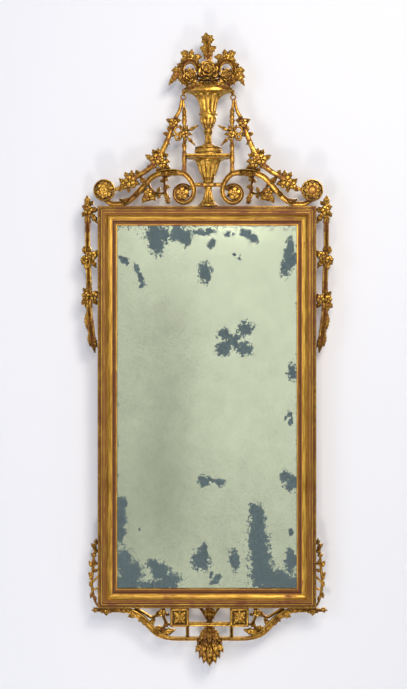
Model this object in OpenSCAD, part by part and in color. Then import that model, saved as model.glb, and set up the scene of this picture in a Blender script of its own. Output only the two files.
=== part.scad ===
// Pier mirror in carved and gilded wood: a mitred moulded frame, a tall crest
// with an urn of roses between garlands and scrolls, side drops and a pierced apron.
// The back is the plane y = 0, the front faces -y and z is up. The origin is the
// centre of the hanging hole in the iron stay, on the back plane.

/* [Frame] */
// Width over the outer edges of the moulding
frame_w = 688; // [560:1:860]
// Height over the outer edges of the moulding
frame_h = 1266; // [1000:1:1560]
// Width of the moulding, from outer edge to sight edge
rail_w = 61; // [54:0.5:76]
// Depth of the moulding at its front astragal
rail_d = 38; // [34:0.5:48]
// Width of the ledge that carries the outer pearls
ledge_w = 9; // [7:0.5:11]
// Width of the cove that carries the sight pearls
cove_w = 9.5; // [8:0.5:12]
// Radius of the front astragal
astragal_r = 3.5; // [2.5:0.25:4.5]
// Height of a pearl strip's fillet
fillet_t = 1.5; // [1:0.25:2.5]

/* [Mirror and back] */
// Thickness of the mirror glass
glass_t = 4; // [3:0.5:5]
// Thickness of the tin amalgam, drawn heavier than the real foil
tin_t = 0.4; // [0.3:0.1:0.6]
// Overlap of the moulding's lip on the glass
glass_lap = 9; // [6:0.5:12]
// Thickness of the backboards
board_t = 8; // [6:0.5:10]
// Width of the backboards' rebate beyond the glass rebate
board_lap = 8; // [6:0.5:10]
// Length of a glazing block
block_l = 45; // [30:1:60]
// Radius of a nail's shank
nail_r = 1.1; // [0.8:0.1:1.5]

/* [Hanging iron] */
// Thickness of the iron stay
stay_t = 4; // [3:0.5:5]
// Width of the stay behind the crest
stay_w = 14; // [10:0.5:16]
// Width of the stay's palm on the top rail
palm_w = 36; // [30:1:44]
// Height of the stay above the top rail
stay_h = 330; // [240:1:350]
// Radius of the hanging hole
hang_r = 6; // [4:0.25:7]
// Distance of the hanging hole below the top edge
hang_drop = 20; // [16:0.5:24]
// Radius of a screw's shank
screw_r = 2; // [1.5:0.25:2.5]

/* [Crest] */
// Distance of the crest's axis to the right of the frame's
crest_shift = 4; // [-8:0.5:8]
// Depth of the scrolls' relief
scroll_d = 20; // [14:0.5:26]
// Radius of the end paterae
patera_r = 35; // [28:0.5:40]
// Depth of the end paterae
patera_d = 25; // [20:0.5:30]
// Half width of the urn at its lip
urn_r = 83; // [74:0.5:88]
// Radius of the centre rose
rose_r = 36; // [30:0.5:38]
// Distance of a tassel from the crest's axis
tassel_x = 75.5; // [73:0.5:78]
// Depth of the garlands' stems
garland_d = 14; // [10:0.5:18]

/* [Side drops and apron] */
// Distance of a side drop's stem from the frame's edge
drop_x = 33; // [30:0.5:38]
// Distance of the apron's axis to the right of the frame's
apron_shift = 8; // [-8:0.5:10]
// Side of a square rosette block
block_s = 59; // [50:0.5:64]
// Depth of a rosette block
block_d = 24; // [18:0.5:28]
// Distance from the apron's axis to a rosette block
block_x = 64.5; // [60:0.5:70]

/* [Hidden] */
$fn = 64;

gold = "#b8862b";
old_gold = "#9c6b22";
iron = "#4a4744";
pine = "#9a7648";
glass_grey = "#c3cfc2";
tin = "#b4b8b2";

gap = 0.2;        // clearance between pieces that are fitted, not glued
fit = 0.15;       // clearance round a glued ornament's seat
over = 1;         // how far a cutting shape runs past what it cuts

top_z = hang_drop;
bottom_z = top_z - frame_h;
mid_z = top_z - frame_h / 2;

// Moulding, measured as u from the outer edge and d from the back plane
ledge_d = rail_d - 14;
quarter_r = 7;
bead_u = ledge_w + 2 * quarter_r + astragal_r;
cove_u = rail_w - cove_w - 4;
cove_d = rail_d - 20;
lip_d = cove_d + 2.5;
lip_t = 4.5;
glass_d = lip_d - lip_t;
glass_u = rail_w - glass_lap - 1;
board_u = glass_u - board_lap;
scotia_sag = 3;
pearl_r = 3.4;
sight_pearl_r = 3;

// Corner keys
key_t = 3;
key_leg = 34;
key_d = ledge_d / 2;

// Opening of the frame at each rebate
glass_w = frame_w - 2 * glass_u - 2;
glass_h = frame_h - 2 * glass_u - 2;
boards_w = frame_w - 2 * board_u - 1;
boards_h = frame_h - 2 * board_u - 1;
board_gap = 1;
board_h = (boards_h - 2 * board_gap) / 3;

// Hanging iron
palm_h = 38;
pocket_r = hang_r + 4;
pocket_d = 12;

// Carving keeps its height; its places across follow the frame's width
stretch = frame_w / 688;
function side_x(x) = x * stretch;

// Crest, in the local frame of its axis and the rail's top edge
patera = [frame_w / 2 - 16.5, 50];
eye = [side_x(79), 40];          // centre of a volute
eye_r = 20;
bar_z = 62;
bar_t = 13;
bell_z = bar_z + bar_t;
abacus_z = 151;
abacus_t = 11;
socle_z = abacus_z + abacus_t;
foot_z = 190;
body_z = 237;
lip_z = 360;
ring_r = 7.5;
ring_t = 2.3;
ring_z = lip_z - 7 - ring_r;
ring_x = urn_r - 4;
rose_z = 394 + rose_r;
crest_screws = [105, 176, 305];
knot_z = 228;
knot_d = 9;

// Apron, in the local frame of its axis and the bottom rail's lower edge
apron_bar_h = 13;
base_z = -40 - block_s;            // centre line of the bottom bar
base_w = 10;
drop_half = 30;                    // half width of the acanthus at the bottom bar

// ---------- helpers for the moulding ----------

// Centre of the circle of sagitta s through a and b, on the left of a to b
function arc_centre(a, b, s) =
  let (chord = norm(b - a), r = chord * chord / (8 * s) + s / 2, n = [a[1] - b[1], b[0] - a[0]] / chord)
  (a + b) / 2 + n * (r - s);

// The moulding's section; x is y in space and y is z, with the outer edge on z = 0
module rail_section() {
  a = [-(rail_d - 4), -(bead_u + astragal_r)];
  b = [-(cove_d + 7), -cove_u];
  c = arc_centre(b, a, scotia_sag);
  difference() {
    union() {
      polygon([
        [0, 0], [-ledge_d, 0], [-ledge_d, -ledge_w], [-(ledge_d + 3), -ledge_w],
        [-(ledge_d + 3), -ledge_w - quarter_r], [-(rail_d - 7), -ledge_w - quarter_r],
        [-(rail_d - 7), -bead_u], a, b, [-cove_d, -cove_u], [-cove_d, -(cove_u + cove_w)],
        [-lip_d, -(cove_u + cove_w)], [-lip_d, -rail_w], [-glass_d, -rail_w],
        [-glass_d, -glass_u], [-board_t, -glass_u], [-board_t, -board_u], [0, -board_u]
      ]);
      translate([-(ledge_d + 3), -ledge_w - quarter_r])
        circle(quarter_r);
      translate([-(rail_d - astragal_r), -bead_u])
        circle(astragal_r);
    }
    translate(c)
      circle(norm(a - c));
    translate([-rail_d - over, -ledge_w - 2 * quarter_r])
      square([over + 7, quarter_r]);
  }
}

// Section of a pearl strip: a fillet of width w and a half round on it
module pearl_section(u, d, w, r) {
  translate([-d - fillet_t, -u - w])
    square([fillet_t, w]);
  intersection() {
    translate([-d - fillet_t, -u - w / 2])
      circle(r);
    translate([-d - fillet_t - 2 * r, -u - w])
      square([2 * r + fillet_t / 2, w]);
  }
}

// A mitred length of the section given as a child, centred on x
module mitred(length) {
  intersection() {
    translate([-length / 2, 0, 0])
      rotate([90, 0, 90])
        linear_extrude(length)
          children();
    rotate([90, 0, 0])
      linear_extrude(rail_d + over)
        polygon([[-length / 2, 0], [length / 2, 0], [length / 2 - rail_w, -rail_w],
          [rail_w - length / 2, -rail_w]]);
  }
}

// Puts a length on one side of the frame: 0 top, 1 right, 2 bottom, 3 left
module on_side(side) {
  across = side == 1 ? frame_w / 2 : side == 3 ? -frame_w / 2 : 0;
  up = side == 0 ? top_z : side == 2 ? bottom_z : mid_z;
  translate([across, 0, up])
    rotate([0, 90 * side, 0])
      children();
}

function side_length(side) = side % 2 == 0 ? frame_w : frame_h;

// Slots for the keys, or the keys themselves, at the four corners
module keys() {
  translate([0, -key_d, mid_z])
    for (sx = [0, 1], sz = [0, 1])
      mirror([sx, 0, 0])
        mirror([0, 0, sz])
          translate([frame_w / 2, 0, frame_h / 2])
            rotate([90, 0, 0])
              linear_extrude(key_t)
                polygon([[0, 0], [-key_leg, 0], [0, -key_leg]]);
}

// ---------- helpers for the carving ----------
// Carving is drawn in x and z with its flat back on y = 0. A path is a list of
// [x, z, width, depth], and angles run from +x towards +z.

function spline(a, b, c, d, t) =
  0.5 * (2 * b + (c - a) * t + (2 * a - 5 * b + 4 * c - d) * t * t + (3 * b - a - 3 * c + d) * t * t * t);

// A smooth path through p with n steps between points
function smooth(p, n) =
  concat([for (i = [0:len(p) - 2], k = [0:n - 1])
    spline(p[max(i - 1, 0)], p[i], p[i + 1], p[min(i + 2, len(p) - 1)], k / n)], [p[len(p) - 1]]);

function heading(p, i) =
  let (a = p[max(i - 1, 0)], b = p[min(i + 1, len(p) - 1)]) atan2(b[1] - a[1], b[0] - a[0]);

// Section of a stem and of the moulded band: shares of the width and depth
stem_section = [[-0.5, 0], [-0.3, 0.9], [0.3, 0.9], [0.5, 0]];
band_section = [[-0.5, 0], [-0.46, 0.96], [-0.22, 0.7], [0.24, 0.62], [0.44, 0.86], [0.5, 0]];

// A sweep of the section along the path
module ribbon(p, section = stem_section) {
  n = len(p);
  m = len(section);
  points = [for (i = [0:n - 1]) let (a = heading(p, i)) for (q = section)
    [p[i][0] - q[0] * p[i][2] * sin(a), -q[1] * p[i][3], p[i][1] + q[0] * p[i][2] * cos(a)]];
  sides = [for (i = [0:n - 2], j = [0:m - 1]) let (k = (j + 1) % m)
    each [[i * m + j, i * m + k, (i + 1) * m + j], [i * m + k, (i + 1) * m + k, (i + 1) * m + j]]];
  ends = [[for (j = [m - 1:-1:0]) j], [for (j = [0:m - 1]) (n - 1) * m + j]];
  polyhedron(points, concat(sides, ends));
}

// A small leaf with a raised rib: root at x, z, length l, width w, height h
module leaf(x, z, angle, l, w, h = 9) {
  translate([x, 0, z])
    rotate([0, -angle, 0])
      hull()
        polyhedron(
          [[0, 0, -0.28 * w], [0, 0, 0.28 * w], [0.35 * l, -h, 0], [l, 0, 0],
            [0.4 * l, 0, 0.5 * w], [0.4 * l, 0, -0.5 * w]],
          [[0, 2, 1], [1, 2, 4], [2, 3, 4], [0, 1, 4, 3, 5], [0, 5, 2], [3, 2, 5]]
        );
}

// Leaves from a list of [x, z, angle, length, width], all of one height
module leaves(list, h) {
  for (l = list)
    leaf(side_x(l[0]), l[1], l[2], l[3], l[4], h);
}

// A large leaf in two halves with a sunk midrib between them
module acanthus(x, z, angle, l, w, h) {
  translate([x, 0, z])
    rotate([0, -angle, 0])
      for (s = [-1, 1])
        hull()
          polyhedron(
            [[0, 0, 0], [0, -0.5 * h, 0], [0.4 * l, 0, 0], [0.4 * l, -0.55 * h, 0], [l, -0.3 * h, 0],
              [0.97 * l, 0, 0], [0.4 * l, -h, s * 0.24 * w], [0.36 * l, -0.35 * h, s * 0.5 * w],
              [0.72 * l, -0.3 * h, s * 0.36 * w], [0.36 * l, 0, s * 0.44 * w], [0.7 * l, 0, s * 0.3 * w]],
            [[0, 9, 7], [0, 7, 1], [1, 7, 6], [1, 6, 3], [3, 6, 4], [6, 7, 8], [6, 8, 4], [4, 8, 10],
              [4, 10, 5], [7, 9, 10], [7, 10, 8], [0, 2, 9], [2, 5, 10], [2, 10, 9], [0, 1, 3], [0, 3, 2],
              [2, 3, 4], [2, 4, 5]]
          );
}

// A bud or button: a blunt oval cone of length l and width w, height h
module bud(x, z, angle, l, w, h) {
  translate([x, 0, z])
    rotate([0, -angle, 0])
      hull()
        scale([0.5 * l, 1, 0.5 * w])
          rotate([90, 0, 0])
            cylinder(h, 1, 0.4, $fn = 6);
}

// Rings of a flower and of a full rose, as shares of its radius and height, with
// the row of petals that each ring is notched for; row 0 is plain
flower_rings = [[0.3, 0.55, 0], [0.74, 0.85, 1], [1, 0, 1]];
rose_rings = [[0.15, 0.97, 0], [0.21, 0.8, 0], [0.45, 0.98, 1], [0.5, 0.7, 0],
  [0.74, 0.84, 2], [0.79, 0.52, 0], [1, 0.5, 3], [1, 0, 0]];

// An open flower, its petals parted by notches
module flower(x, z, r, h, petals = 5, turn = 0) {
  bloom(x, z, r, h, flower_rings, petals, turn, 2, 0.22);
}

// A full rose in three rows of petals
module rose(x, z, r, h, petals = 5, turn = 0) {
  bloom(x, z, r, h, rose_rings, petals, turn, 3, 0.22);
}

// A bloom with a raised middle: so many points to a petal, one of them notched
module bloom(x, z, r, h, rings, petals, turn, per, notch) {
  m = per * petals;
  n = len(rings);
  points = concat([[0, -h, 0]], [for (q = rings, j = [0:m - 1])
    let (v = q[2] > 0 && (j + q[2]) % per == 0 ? 1 : 0,
      a = turn + 360 * j / m, rr = r * q[0] * (1 - notch * v))
    [rr * cos(a), -h * q[1] * (1 - 0.3 * v), rr * sin(a)]]);
  button = [for (j = [0:m - 1]) [0, 1 + (j + 1) % m, 1 + j]];
  petal_faces = [for (q = [0:n - 2], j = [0:m - 1]) let (k = (j + 1) % m, a = 1 + q * m, b = 1 + (q + 1) * m)
    each [[a + j, a + k, b + j], [a + k, b + k, b + j]]];
  back = [[for (j = [0:m - 1]) 1 + (n - 1) * m + j]];
  translate([x, 0, z])
    polyhedron(points, concat(button, petal_faces, back));
}

// ---------- the moulded frame ----------

module rail(side) {
  difference() {
    on_side(side)
      mitred(side_length(side))
        rail_section();
    keys();
    if (side % 2 == 1)
      nail_holes();
    if (side == 0) {
      stay_blank(over);
      translate([0, over, 0])
        rotate([90, 0, 0])
          cylinder(pocket_d + stay_t + over, pocket_r, pocket_r);
      screw_holes();
    }
  }
}

module top_rail() { color(gold) rail(0); }
module bottom_rail() { color(gold) rail(2); }
module left_stile() { color(gold) rail(3); }
module right_stile() { color(gold) rail(1); }
module corner_keys() { color(pine) keys(); }

module outer_pearls(side) {
  color(gold)
    on_side(side)
      mitred(side_length(side))
        pearl_section(0, ledge_d, ledge_w, pearl_r);
}

module outer_pearls_top() { outer_pearls(0); }
module outer_pearls_bottom() { outer_pearls(2); }
module outer_pearls_left() { outer_pearls(3); }
module outer_pearls_right() { outer_pearls(1); }

module sight_pearls(side) {
  color(old_gold)
    on_side(side)
      mitred(side_length(side))
        pearl_section(cove_u, cove_d, cove_w, sight_pearl_r);
}

module sight_pearls_top() { sight_pearls(0); }
module sight_pearls_bottom() { sight_pearls(2); }
module sight_pearls_left() { sight_pearls(3); }
module sight_pearls_right() { sight_pearls(1); }

// ---------- the mirror and its back ----------

// A sheet in the frame's opening whose front is at depth d
module sheet(w, h, t, d) {
  translate([-w / 2, -d, mid_z - h / 2])
    cube([w, t, h]);
}

module mirror_glass() { color(glass_grey) sheet(glass_w, glass_h, glass_t, glass_d); }
module tin_amalgam() { color(tin) sheet(glass_w, glass_h, tin_t, glass_d - glass_t); }

// Blocks glued round the rebate behind the glass
module glazing_blocks() {
  block_t = glass_d - glass_t - tin_t - board_t - gap;
  block_w = glass_lap - 2;
  color(pine)
    for (side = [0:3], k = [-1, 1])
      on_side(side)
        translate([k * (side_length(side) / 4) - block_l / 2, -board_t - block_t, -glass_u - block_w])
          cube([block_l, block_t, block_w]);
}

// Softwood boards laid across the back, bevelled on their back edges
module backboard(i) {
  bevel = board_t / 2;
  color(pine)
    difference() {
      translate([-boards_w / 2, 0, board_low(i)])
        rotate([90, 0, 90])
          linear_extrude(boards_w)
            polygon([[0, bevel], [0, board_h - bevel], [-bevel, board_h], [-board_t, board_h],
              [-board_t, 0], [-bevel, 0]]);
      nail_holes();
    }
}

module backboard_lower() { backboard(0); }
module backboard_middle() { backboard(1); }
module backboard_upper() { backboard(2); }

function board_low(i) = mid_z - boards_h / 2 + i * (board_h + board_gap);

// Puts a nail near both ends of each board, on the rebate's centre line
module at_nails() {
  for (i = [0:2], k = [0.2, 0.8], s = [-1, 1])
    translate([s * (frame_w / 2 - board_u - board_lap / 2), 0, board_low(i) + k * board_h])
      rotate([90, 0, 0])
        children();
}

nail_l = 16;
nail_head_t = 1.2;
nail_head_r = 2.6;

module nail(extra = 0) {
  translate([0, 0, -extra])
    cylinder(nail_l + extra, nail_r, nail_r, $fn = 24);
  translate([0, 0, -extra])
    cylinder(nail_head_t + extra, nail_head_r, nail_head_r, $fn = 24);
}

module nail_holes() { at_nails() nail(over); }
module backboard_nails() { color(iron) at_nails() nail(); }

// ---------- the iron stay ----------

// Outline of the stay: a palm on the rail and a bar behind the crest's axis
module stay_outline() {
  shoulder = 16;
  polygon([
    [-palm_w / 2, top_z - palm_h], [palm_w / 2, top_z - palm_h], [palm_w / 2, top_z - shoulder],
    [crest_shift + stay_w / 2, top_z], [crest_shift + stay_w / 2, top_z + stay_h],
    [crest_shift - stay_w / 2, top_z + stay_h], [crest_shift - stay_w / 2, top_z],
    [-palm_w / 2, top_z - shoulder]
  ]);
}

module stay_blank(extra = 0) {
  translate([0, extra, 0])
    rotate([90, 0, 0])
      linear_extrude(stay_t + extra)
        stay_outline();
}

// Puts a child at each screw, its z axis pointing into the wood
module at_screws() {
  for (s = [-1, 1])
    translate([s * (palm_w / 2 - 6), 0, top_z - 30])
      rotate([90, 0, 0])
        children();
  for (z = crest_screws)
    translate([crest_shift, 0, top_z + z])
      rotate([90, 0, 0])
        children();
}

screw_l = 16;

// Countersunk screw, with its head flush with the back plane
module screw(extra = 0) {
  cylinder(screw_l, screw_r, screw_r, $fn = 24);
  cylinder(screw_r, 2 * screw_r, screw_r, $fn = 24);
  translate([0, 0, -extra])
    cylinder(extra, 2 * screw_r, 2 * screw_r, $fn = 24);
}

module screw_holes() { at_screws() screw(over); }

module stay_screws() {
  color(iron)
    at_screws()
      union() {
        cylinder(screw_l, screw_r, screw_r, $fn = 24);
        cylinder(screw_r, 2 * screw_r, screw_r, $fn = 24);
      }
}

module crest_stay() {
  color(iron)
    difference() {
      stay_blank();
      translate([0, over, 0])
        rotate([90, 0, 0])
          cylinder(stay_t + 2 * over, hang_r, hang_r);
      screw_holes();
    }
}

// ---------- the crest ----------

// The crest's frame, mirrored for the left side; its carving's backs lie on the stay
module crest(s = 1) {
  translate([crest_shift, -stay_t, top_z])
    mirror([s < 0 ? 1 : 0, 0, 0])
      children();
}

// Room for the screws that come through the stay, in the crest's frame
module screw_room() {
  for (z = crest_screws)
    translate([0, over, z])
      rotate([90, 0, 0])
        cylinder(screw_l - stay_t + over + 1, screw_r + fit, screw_r + fit, $fn = 16);
}

// Centre line of a scroll's run, from the end patera to the volute's top
scroll_run = [
  [331, 24, 12], [304, 8, 16], [268, 9, 17], [238, 26, 18], [205, 62, 18], [176, 92, 18], [140, 107, 17],
  [108, 109, 17]
];

// Radius and width of the volute's band after a turn of a degrees
function volute_r(a) = eye_r + 7.5 + 38 * exp(-a / 48);
function volute_w(a) = 17 - a / 62;

// The volute's turns at its stations, closer together where it curls in
volute_turns = [for (i = [0:14]) 408 * pow(i / 14, 1.25)];

scroll_path = concat(
  [for (p = smooth(scroll_run, 2)) [side_x(p[0]), p[1], p[2], scroll_d]],
  [for (a = volute_turns)
    [eye[0] + volute_r(a) * cos(90 + a), eye[1] + volute_r(a) * sin(90 + a), volute_w(a), scroll_d]]
);

// Highest point of the scroll's centre line at x
function scroll_top(x) = max([for (i = [0:len(scroll_path) - 2])
  let (a = scroll_path[i], b = scroll_path[i + 1])
  if ((a[0] - x) * (b[0] - x) <= 0) a[1] + (b[1] - a[1]) * (x - a[0]) / (b[0] - a[0] + 0.0001)]);

module scroll_band() { ribbon(scroll_path, band_section); }

// Leaves wrapped over the band: x, z, angle, length and width
scroll_leaves = [[150, 101, 178, 46, 19], [196, 70, 50, 36, 17], [276, 10, 155, 40, 17]];

module wrapped_leaves() {
  for (l = scroll_leaves)
    acanthus(side_x(l[0]), l[1], l[2], l[3], l[4], scroll_d + 4);
}

// What the crest's carving is trimmed to: the rail's top edge and the end patera
module below_rail_edge() {
  translate([-frame_w, -60, -60])
    cube([2 * frame_w, 80, 60]);
}

module patera_room() {
  translate([patera[0], over, patera[1]])
    rotate([90, 0, 0])
      cylinder(60, patera_r + fit, patera_r + fit, $fn = 48);
}

// S scroll and its volute, with leaves wrapped over the band
module scroll(s) {
  color(gold)
    crest(s)
      difference() {
        union() {
          scroll_band();
          wrapped_leaves();
        }
        below_rail_edge();
        patera_room();
        cross_blank();
      }
}

module scroll_left() { scroll(-1); }
module scroll_right() { scroll(1); }

// End patera: a lathe turned dish with a carved rosette
dish_floor = 9;
rosette_r = patera_r - 8;

module patera_dish() {
  rotate_extrude()
    polygon([[0, 0], [patera_r - 1, 0], [patera_r, 3], [patera_r, patera_d - 7],
      [patera_r - 1.5, patera_d - 3], [patera_r - 4, patera_d - 2], [patera_r - 6, patera_d - 6],
      [rosette_r, dish_floor], [0, dish_floor]]);
}

module at_patera(s) {
  crest(s)
    translate([patera[0], 0, patera[1]])
      rotate([90, 0, 0])
        children();
}

// Rosette of round lobes in a ring of the given count
module lobed_rosette(r, count, lobe_r, button_r, floor_d) {
  intersection() {
    union() {
      for (i = [0:count - 1])
        rotate(i * 360 / count)
          translate([r - lobe_r, 0, floor_d])
            sphere(lobe_r);
      translate([0, 0, floor_d])
        sphere(button_r);
      translate([0, 0, floor_d / 2])
        cylinder(floor_d / 2 + 2, r - lobe_r, r - lobe_r);
    }
    translate([-r, -r, floor_d / 2])
      cube([2 * r, 2 * r, 2 * r]);
  }
}

module patera_left() {
  color(gold)
    at_patera(-1)
      union() {
        patera_dish();
        lobed_rosette(rosette_r - 0.5, 6, 10, 9, dish_floor);
      }
}

module patera_right() {
  color(gold)
    at_patera(1)
      union() {
        patera_dish();
        lobed_rosette(rosette_r - 0.5, 10, 6.6, 9, dish_floor);
      }
}

// Flower with a leafy calyx in the eye of each volute
module volute_rosettes() {
  at = eye + [4, 1];
  color(gold)
    for (s = [-1, 1])
      crest(s)
        difference() {
          union() {
            flower(at[0], at[1], eye_r, 19, 5, 18);
            for (a = [54:72:359])
              leaf(at[0] + 9 * cos(a), at[1] + 9 * sin(a), a, 14, 10, 15);
          }
          scroll_band();
        }
}

// Leafy branch that fills the space between scroll and rail
sprig_stems = [
  [[143, 101, 10], [138, 76, 9], [137, 56, 9], [132, 38, 9], [124, 27, 8]],
  [[189, 72, 9], [179, 52, 9], [163, 42, 9], [147, 41, 9], [136, 46, 8]]
];
sprig_leaves = [[186, 60, 236, 26, 14], [200, 44, 252, 30, 15], [192, 36, -58, 32, 16],
  [186, 38, 225, 30, 15], [180, 26, -20, 22, 13], [133, 46, 70, 24, 12], [130, 34, 262, 26, 13],
  [160, 43, 110, 20, 11]];

module spandrel_sprig(s) {
  stem_d = 11;
  color(gold)
    crest(s)
      difference() {
        union() {
          for (stem = sprig_stems)
            ribbon([for (p = stem) [side_x(p[0]), p[1], p[2], stem_d]]);
          leaves(sprig_leaves, stem_d + 1);
          flower(side_x(190), 44, 13, stem_d + 4);
          bud(side_x(129), 16, 20, 17, 14, stem_d + 2);
        }
        scroll_band();
        wrapped_leaves();
        below_rail_edge();
      }
}

module spandrel_sprig_left() { spandrel_sprig(-1); }
module spandrel_sprig_right() { spandrel_sprig(1); }

// ---------- the urn on its pedestal ----------

// Depth of the urn's half-round relief where its half width is r
function relief(r) = r < 20 ? r : 20 + (r - 20) * 0.33;

// A half-round loft through stations [z, half width, fluting]: the given number of
// lobes crosses the front, cut between them by a share of the half width
module vase(stations, lobes, cut) {
  n = len(stations);
  m = 2 * lobes;
  k = m + 1;
  points = [for (q = stations, j = [0:m])
    let (a = 180 * j / m, r = q[1] * (j % 2 == 0 ? 1 - cut * q[2] : 1))
    [r * cos(a), -relief(r) * sin(a), q[0]]];
  front = [for (i = [0:n - 2], j = [0:m - 1]) each
    [[i * k + j, i * k + j + 1, (i + 1) * k + j], [i * k + j + 1, (i + 1) * k + j + 1, (i + 1) * k + j]]];
  back = [for (i = [0:n - 2]) each
    [[i * k + m, i * k, (i + 1) * k + m], [i * k, (i + 1) * k, (i + 1) * k + m]]];
  ends = [[for (j = [m:-1:0]) j], [for (j = [0:m]) (n - 1) * k + j]];
  polyhedron(points, concat(front, back, ends));
}

// Front of a turned shape standing on z, whose axis lies behind the flat back
module half_turned(profile, behind = 0) {
  intersection() {
    translate([0, behind, 0])
      rotate_extrude()
        polygon(profile);
    translate([-100, -100, -10])
      cube([200, 100, 400]);
  }
}

module pedestal_foot() {
  color(gold)
    crest()
      half_turned([[0, 0], [33, 0], [33, 4], [28, 7], [22, 14], [17, 23], [14, 33], [11, 45], [9.5, 55],
        [9, bar_z], [0, bar_z]]);
}

cross_w = 2 * (eye[0] - 33);

// Bar between the two scrolls, rounded along its front
module cross_blank() {
  translate([-cross_w / 2, 0, bar_z])
    rotate([90, 0, 90])
      linear_extrude(cross_w)
        polygon([[0, 0], [-9, 0], [-12, 2.5], [-13, bar_t / 2], [-12, bar_t - 2.5], [-9, bar_t], [0, bar_t]]);
}

module cross_bar() { color(gold) crest() cross_blank(); }

// Bell of acanthus under the abacus
module acanthus_bell() {
  color(gold)
    crest()
      difference() {
        union() {
          vase([[bell_z, 14, 0], [bell_z + 12, 18, 1], [bell_z + 26, 23, 1], [bell_z + 47, 30, 1],
            [bell_z + 61, 37, 1], [bell_z + 69, 48, 1], [abacus_z - 3, 60, 0], [abacus_z, 66, 0]], 7, 0.12);
          acanthus(0, 90, 90, 54, 20, 27);
          for (s = [-1, 1]) {
            acanthus(s * 15, 94, 90 - s * 12, 52, 17, 24);
            leaf(s * 24, 104, 90 - s * 24, 42, 14, 21);
          }
        }
        screw_room();
      }
}

// Square abacus with a moulded front edge, as wide as the space between the tassels
module abacus() {
  half = tassel_x - fit - tassel_reach(abacus_z, abacus_z + abacus_t);
  color(gold)
    crest()
      translate([-half, 0, abacus_z])
        rotate([90, 0, 90])
          linear_extrude(2 * half)
            polygon([[0, 0], [-33, 0], [-35, 2], [-35, 5], [-38, 7], [-38, abacus_t], [0, abacus_t]]);
}

// Turned socle above the abacus
module socle() {
  z = socle_z;
  color(gold)
    crest()
      difference() {
        half_turned([[0, z], [41, z], [43, z + 3], [42, z + 5], [43.5, z + 9], [43.5, z + 15], [41, z + 20],
          [36, z + 24], [31, foot_z - 2], [31, foot_z], [0, foot_z]], 12);
        screw_room();
      }
}

// Turned foot and stem of the urn
module urn_foot() {
  color(gold)
    crest()
      half_turned([[0, foot_z], [22, foot_z], [22, foot_z + 4], [15, foot_z + 8], [11, foot_z + 16],
        [10, foot_z + 26], [10.5, foot_z + 38], [13, body_z - 4], [15, body_z - 3], [15, body_z],
        [0, body_z]]);
}

// Gadrooned cup, waist ring, fluted neck and flared lip of the urn
module urn_blank() {
  vase([[body_z, 14, 0], [body_z + 5, 14, 0], [body_z + 8, 12, 0], [252, 17, 1], [264, 24, 1], [278, 27, 1],
    [286, 24, 0], [290, 28, 0], [295, 28, 0], [298, 26, 1], [312, 28, 1], [326, 31, 1], [340, 37, 1],
    [350, 48, 1], [lip_z - 2, urn_r - 17, 1], [lip_z, urn_r - 3, 0], [lip_z + 6, urn_r, 0],
    [lip_z + 12, urn_r - 2, 0], [lip_z + 16, urn_r - 10, 0], [lip_z + 24, urn_r - 22, 0],
    [lip_z + 32, urn_r - 48, 0]], 8, 0.14);
}

// Room for the urn under what stands on it
module urn_room() {
  translate([0, 0, fit])
    urn_blank();
}

module urn_body() {
  color(gold)
    crest()
      difference() {
        urn_blank();
        screw_room();
        for (s = [-1, 1])
          translate([s * ring_x, -ring_t, lip_z - 5])
            cylinder(5 + eye_screw_l, eye_screw_r + fit, eye_screw_r + fit, $fn = 16);
      }
}

// Screw eyes in the lip, from which tassels and garlands hang
eye_screw_l = 8;
eye_screw_r = 1.8;

module urn_rings() {
  color(old_gold)
    for (s = [-1, 1])
      crest(s)
        translate([ring_x, -ring_t, ring_z])
          union() {
            rotate([90, 0, 0])
              rotate_extrude()
                translate([ring_r, 0])
                  circle(ring_t, $fn = 24);
            translate([0, 0, ring_r])
              cylinder(lip_z + eye_screw_l - ring_z - ring_r, eye_screw_r, eye_screw_r, $fn = 24);
          }
}

// ---------- tassels, knots and garlands ----------

hang_z = ring_z - ring_r - ring_t - 0.5;

// The tassel's cord from its ring, its bell and its spindle down to the scroll, as [x, z, width]
tassel_end = scroll_top(tassel_x);
bell_top = tassel_end + 52;
tassel_points = concat(
  [[ring_x, hang_z, 7], [ring_x - 1.5, hang_z - 19, 9]],
  [for (p = [[hang_z - 45, 11], [hang_z - 67, 13], [hang_z - 87, 9], [knot_z - 14, 9], [bell_top + 46, 10],
      [bell_top + 22, 11], [bell_top + 8, 12.5], [bell_top, 15], [bell_top - 13, 16], [bell_top - 26, 13.5],
      [bell_top - 36, 14.5], [tassel_end, 16]])
    [tassel_x, p[0], p[1]]]
);

// Largest half width of the tassel between two heights
function tassel_reach(low, high) = max([for (i = [0:len(tassel_points) - 2])
  let (a = tassel_points[i], b = tassel_points[i + 1])
  if (a[1] > low && b[1] < high)
    for (z = [max(low, b[1]), min(high, a[1])]) (b[2] + (a[2] - b[2]) * (z - b[1]) / (a[1] - b[1])) / 2]);

// The tassel's body, or a room for it that is wider by extra
module tassel_body(extra = 0) {
  ribbon([for (p = tassel_points) [p[0], p[1], p[2] + extra, 0.55 * p[2] + extra]]);
}

// Tassel on a cord, from a ring down to the scroll
module tassel(s) {
  color(old_gold)
    crest(s)
      difference() {
        union() {
          tassel_body();
          for (z = [hang_z - 45, hang_z - 62, bell_top + 46, bell_top + 14], a = [-14, 14])
            leaf(tassel_x, z, 270 + a, 22, 8, 7);
          bud(tassel_x, bell_top - 2, 0, 15, 10, 11);
        }
        scroll_band();
      }
}

module tassel_left() { tassel(-1); }
module tassel_right() { tassel(1); }

// Leaves of a knot, measured from its middle: x, z, angle, length, width
knot_leaves = [[-10, 8, 152, 42, 13], [-8, -6, 226, 42, 13], [-3, 7, 116, 30, 12], [6, -10, -32, 26, 14],
  [4, 14, 64, 22, 11], [-2, -12, 262, 22, 11], [-8, 1, 184, 26, 12], [4, -3, 12, 22, 12]];

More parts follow.
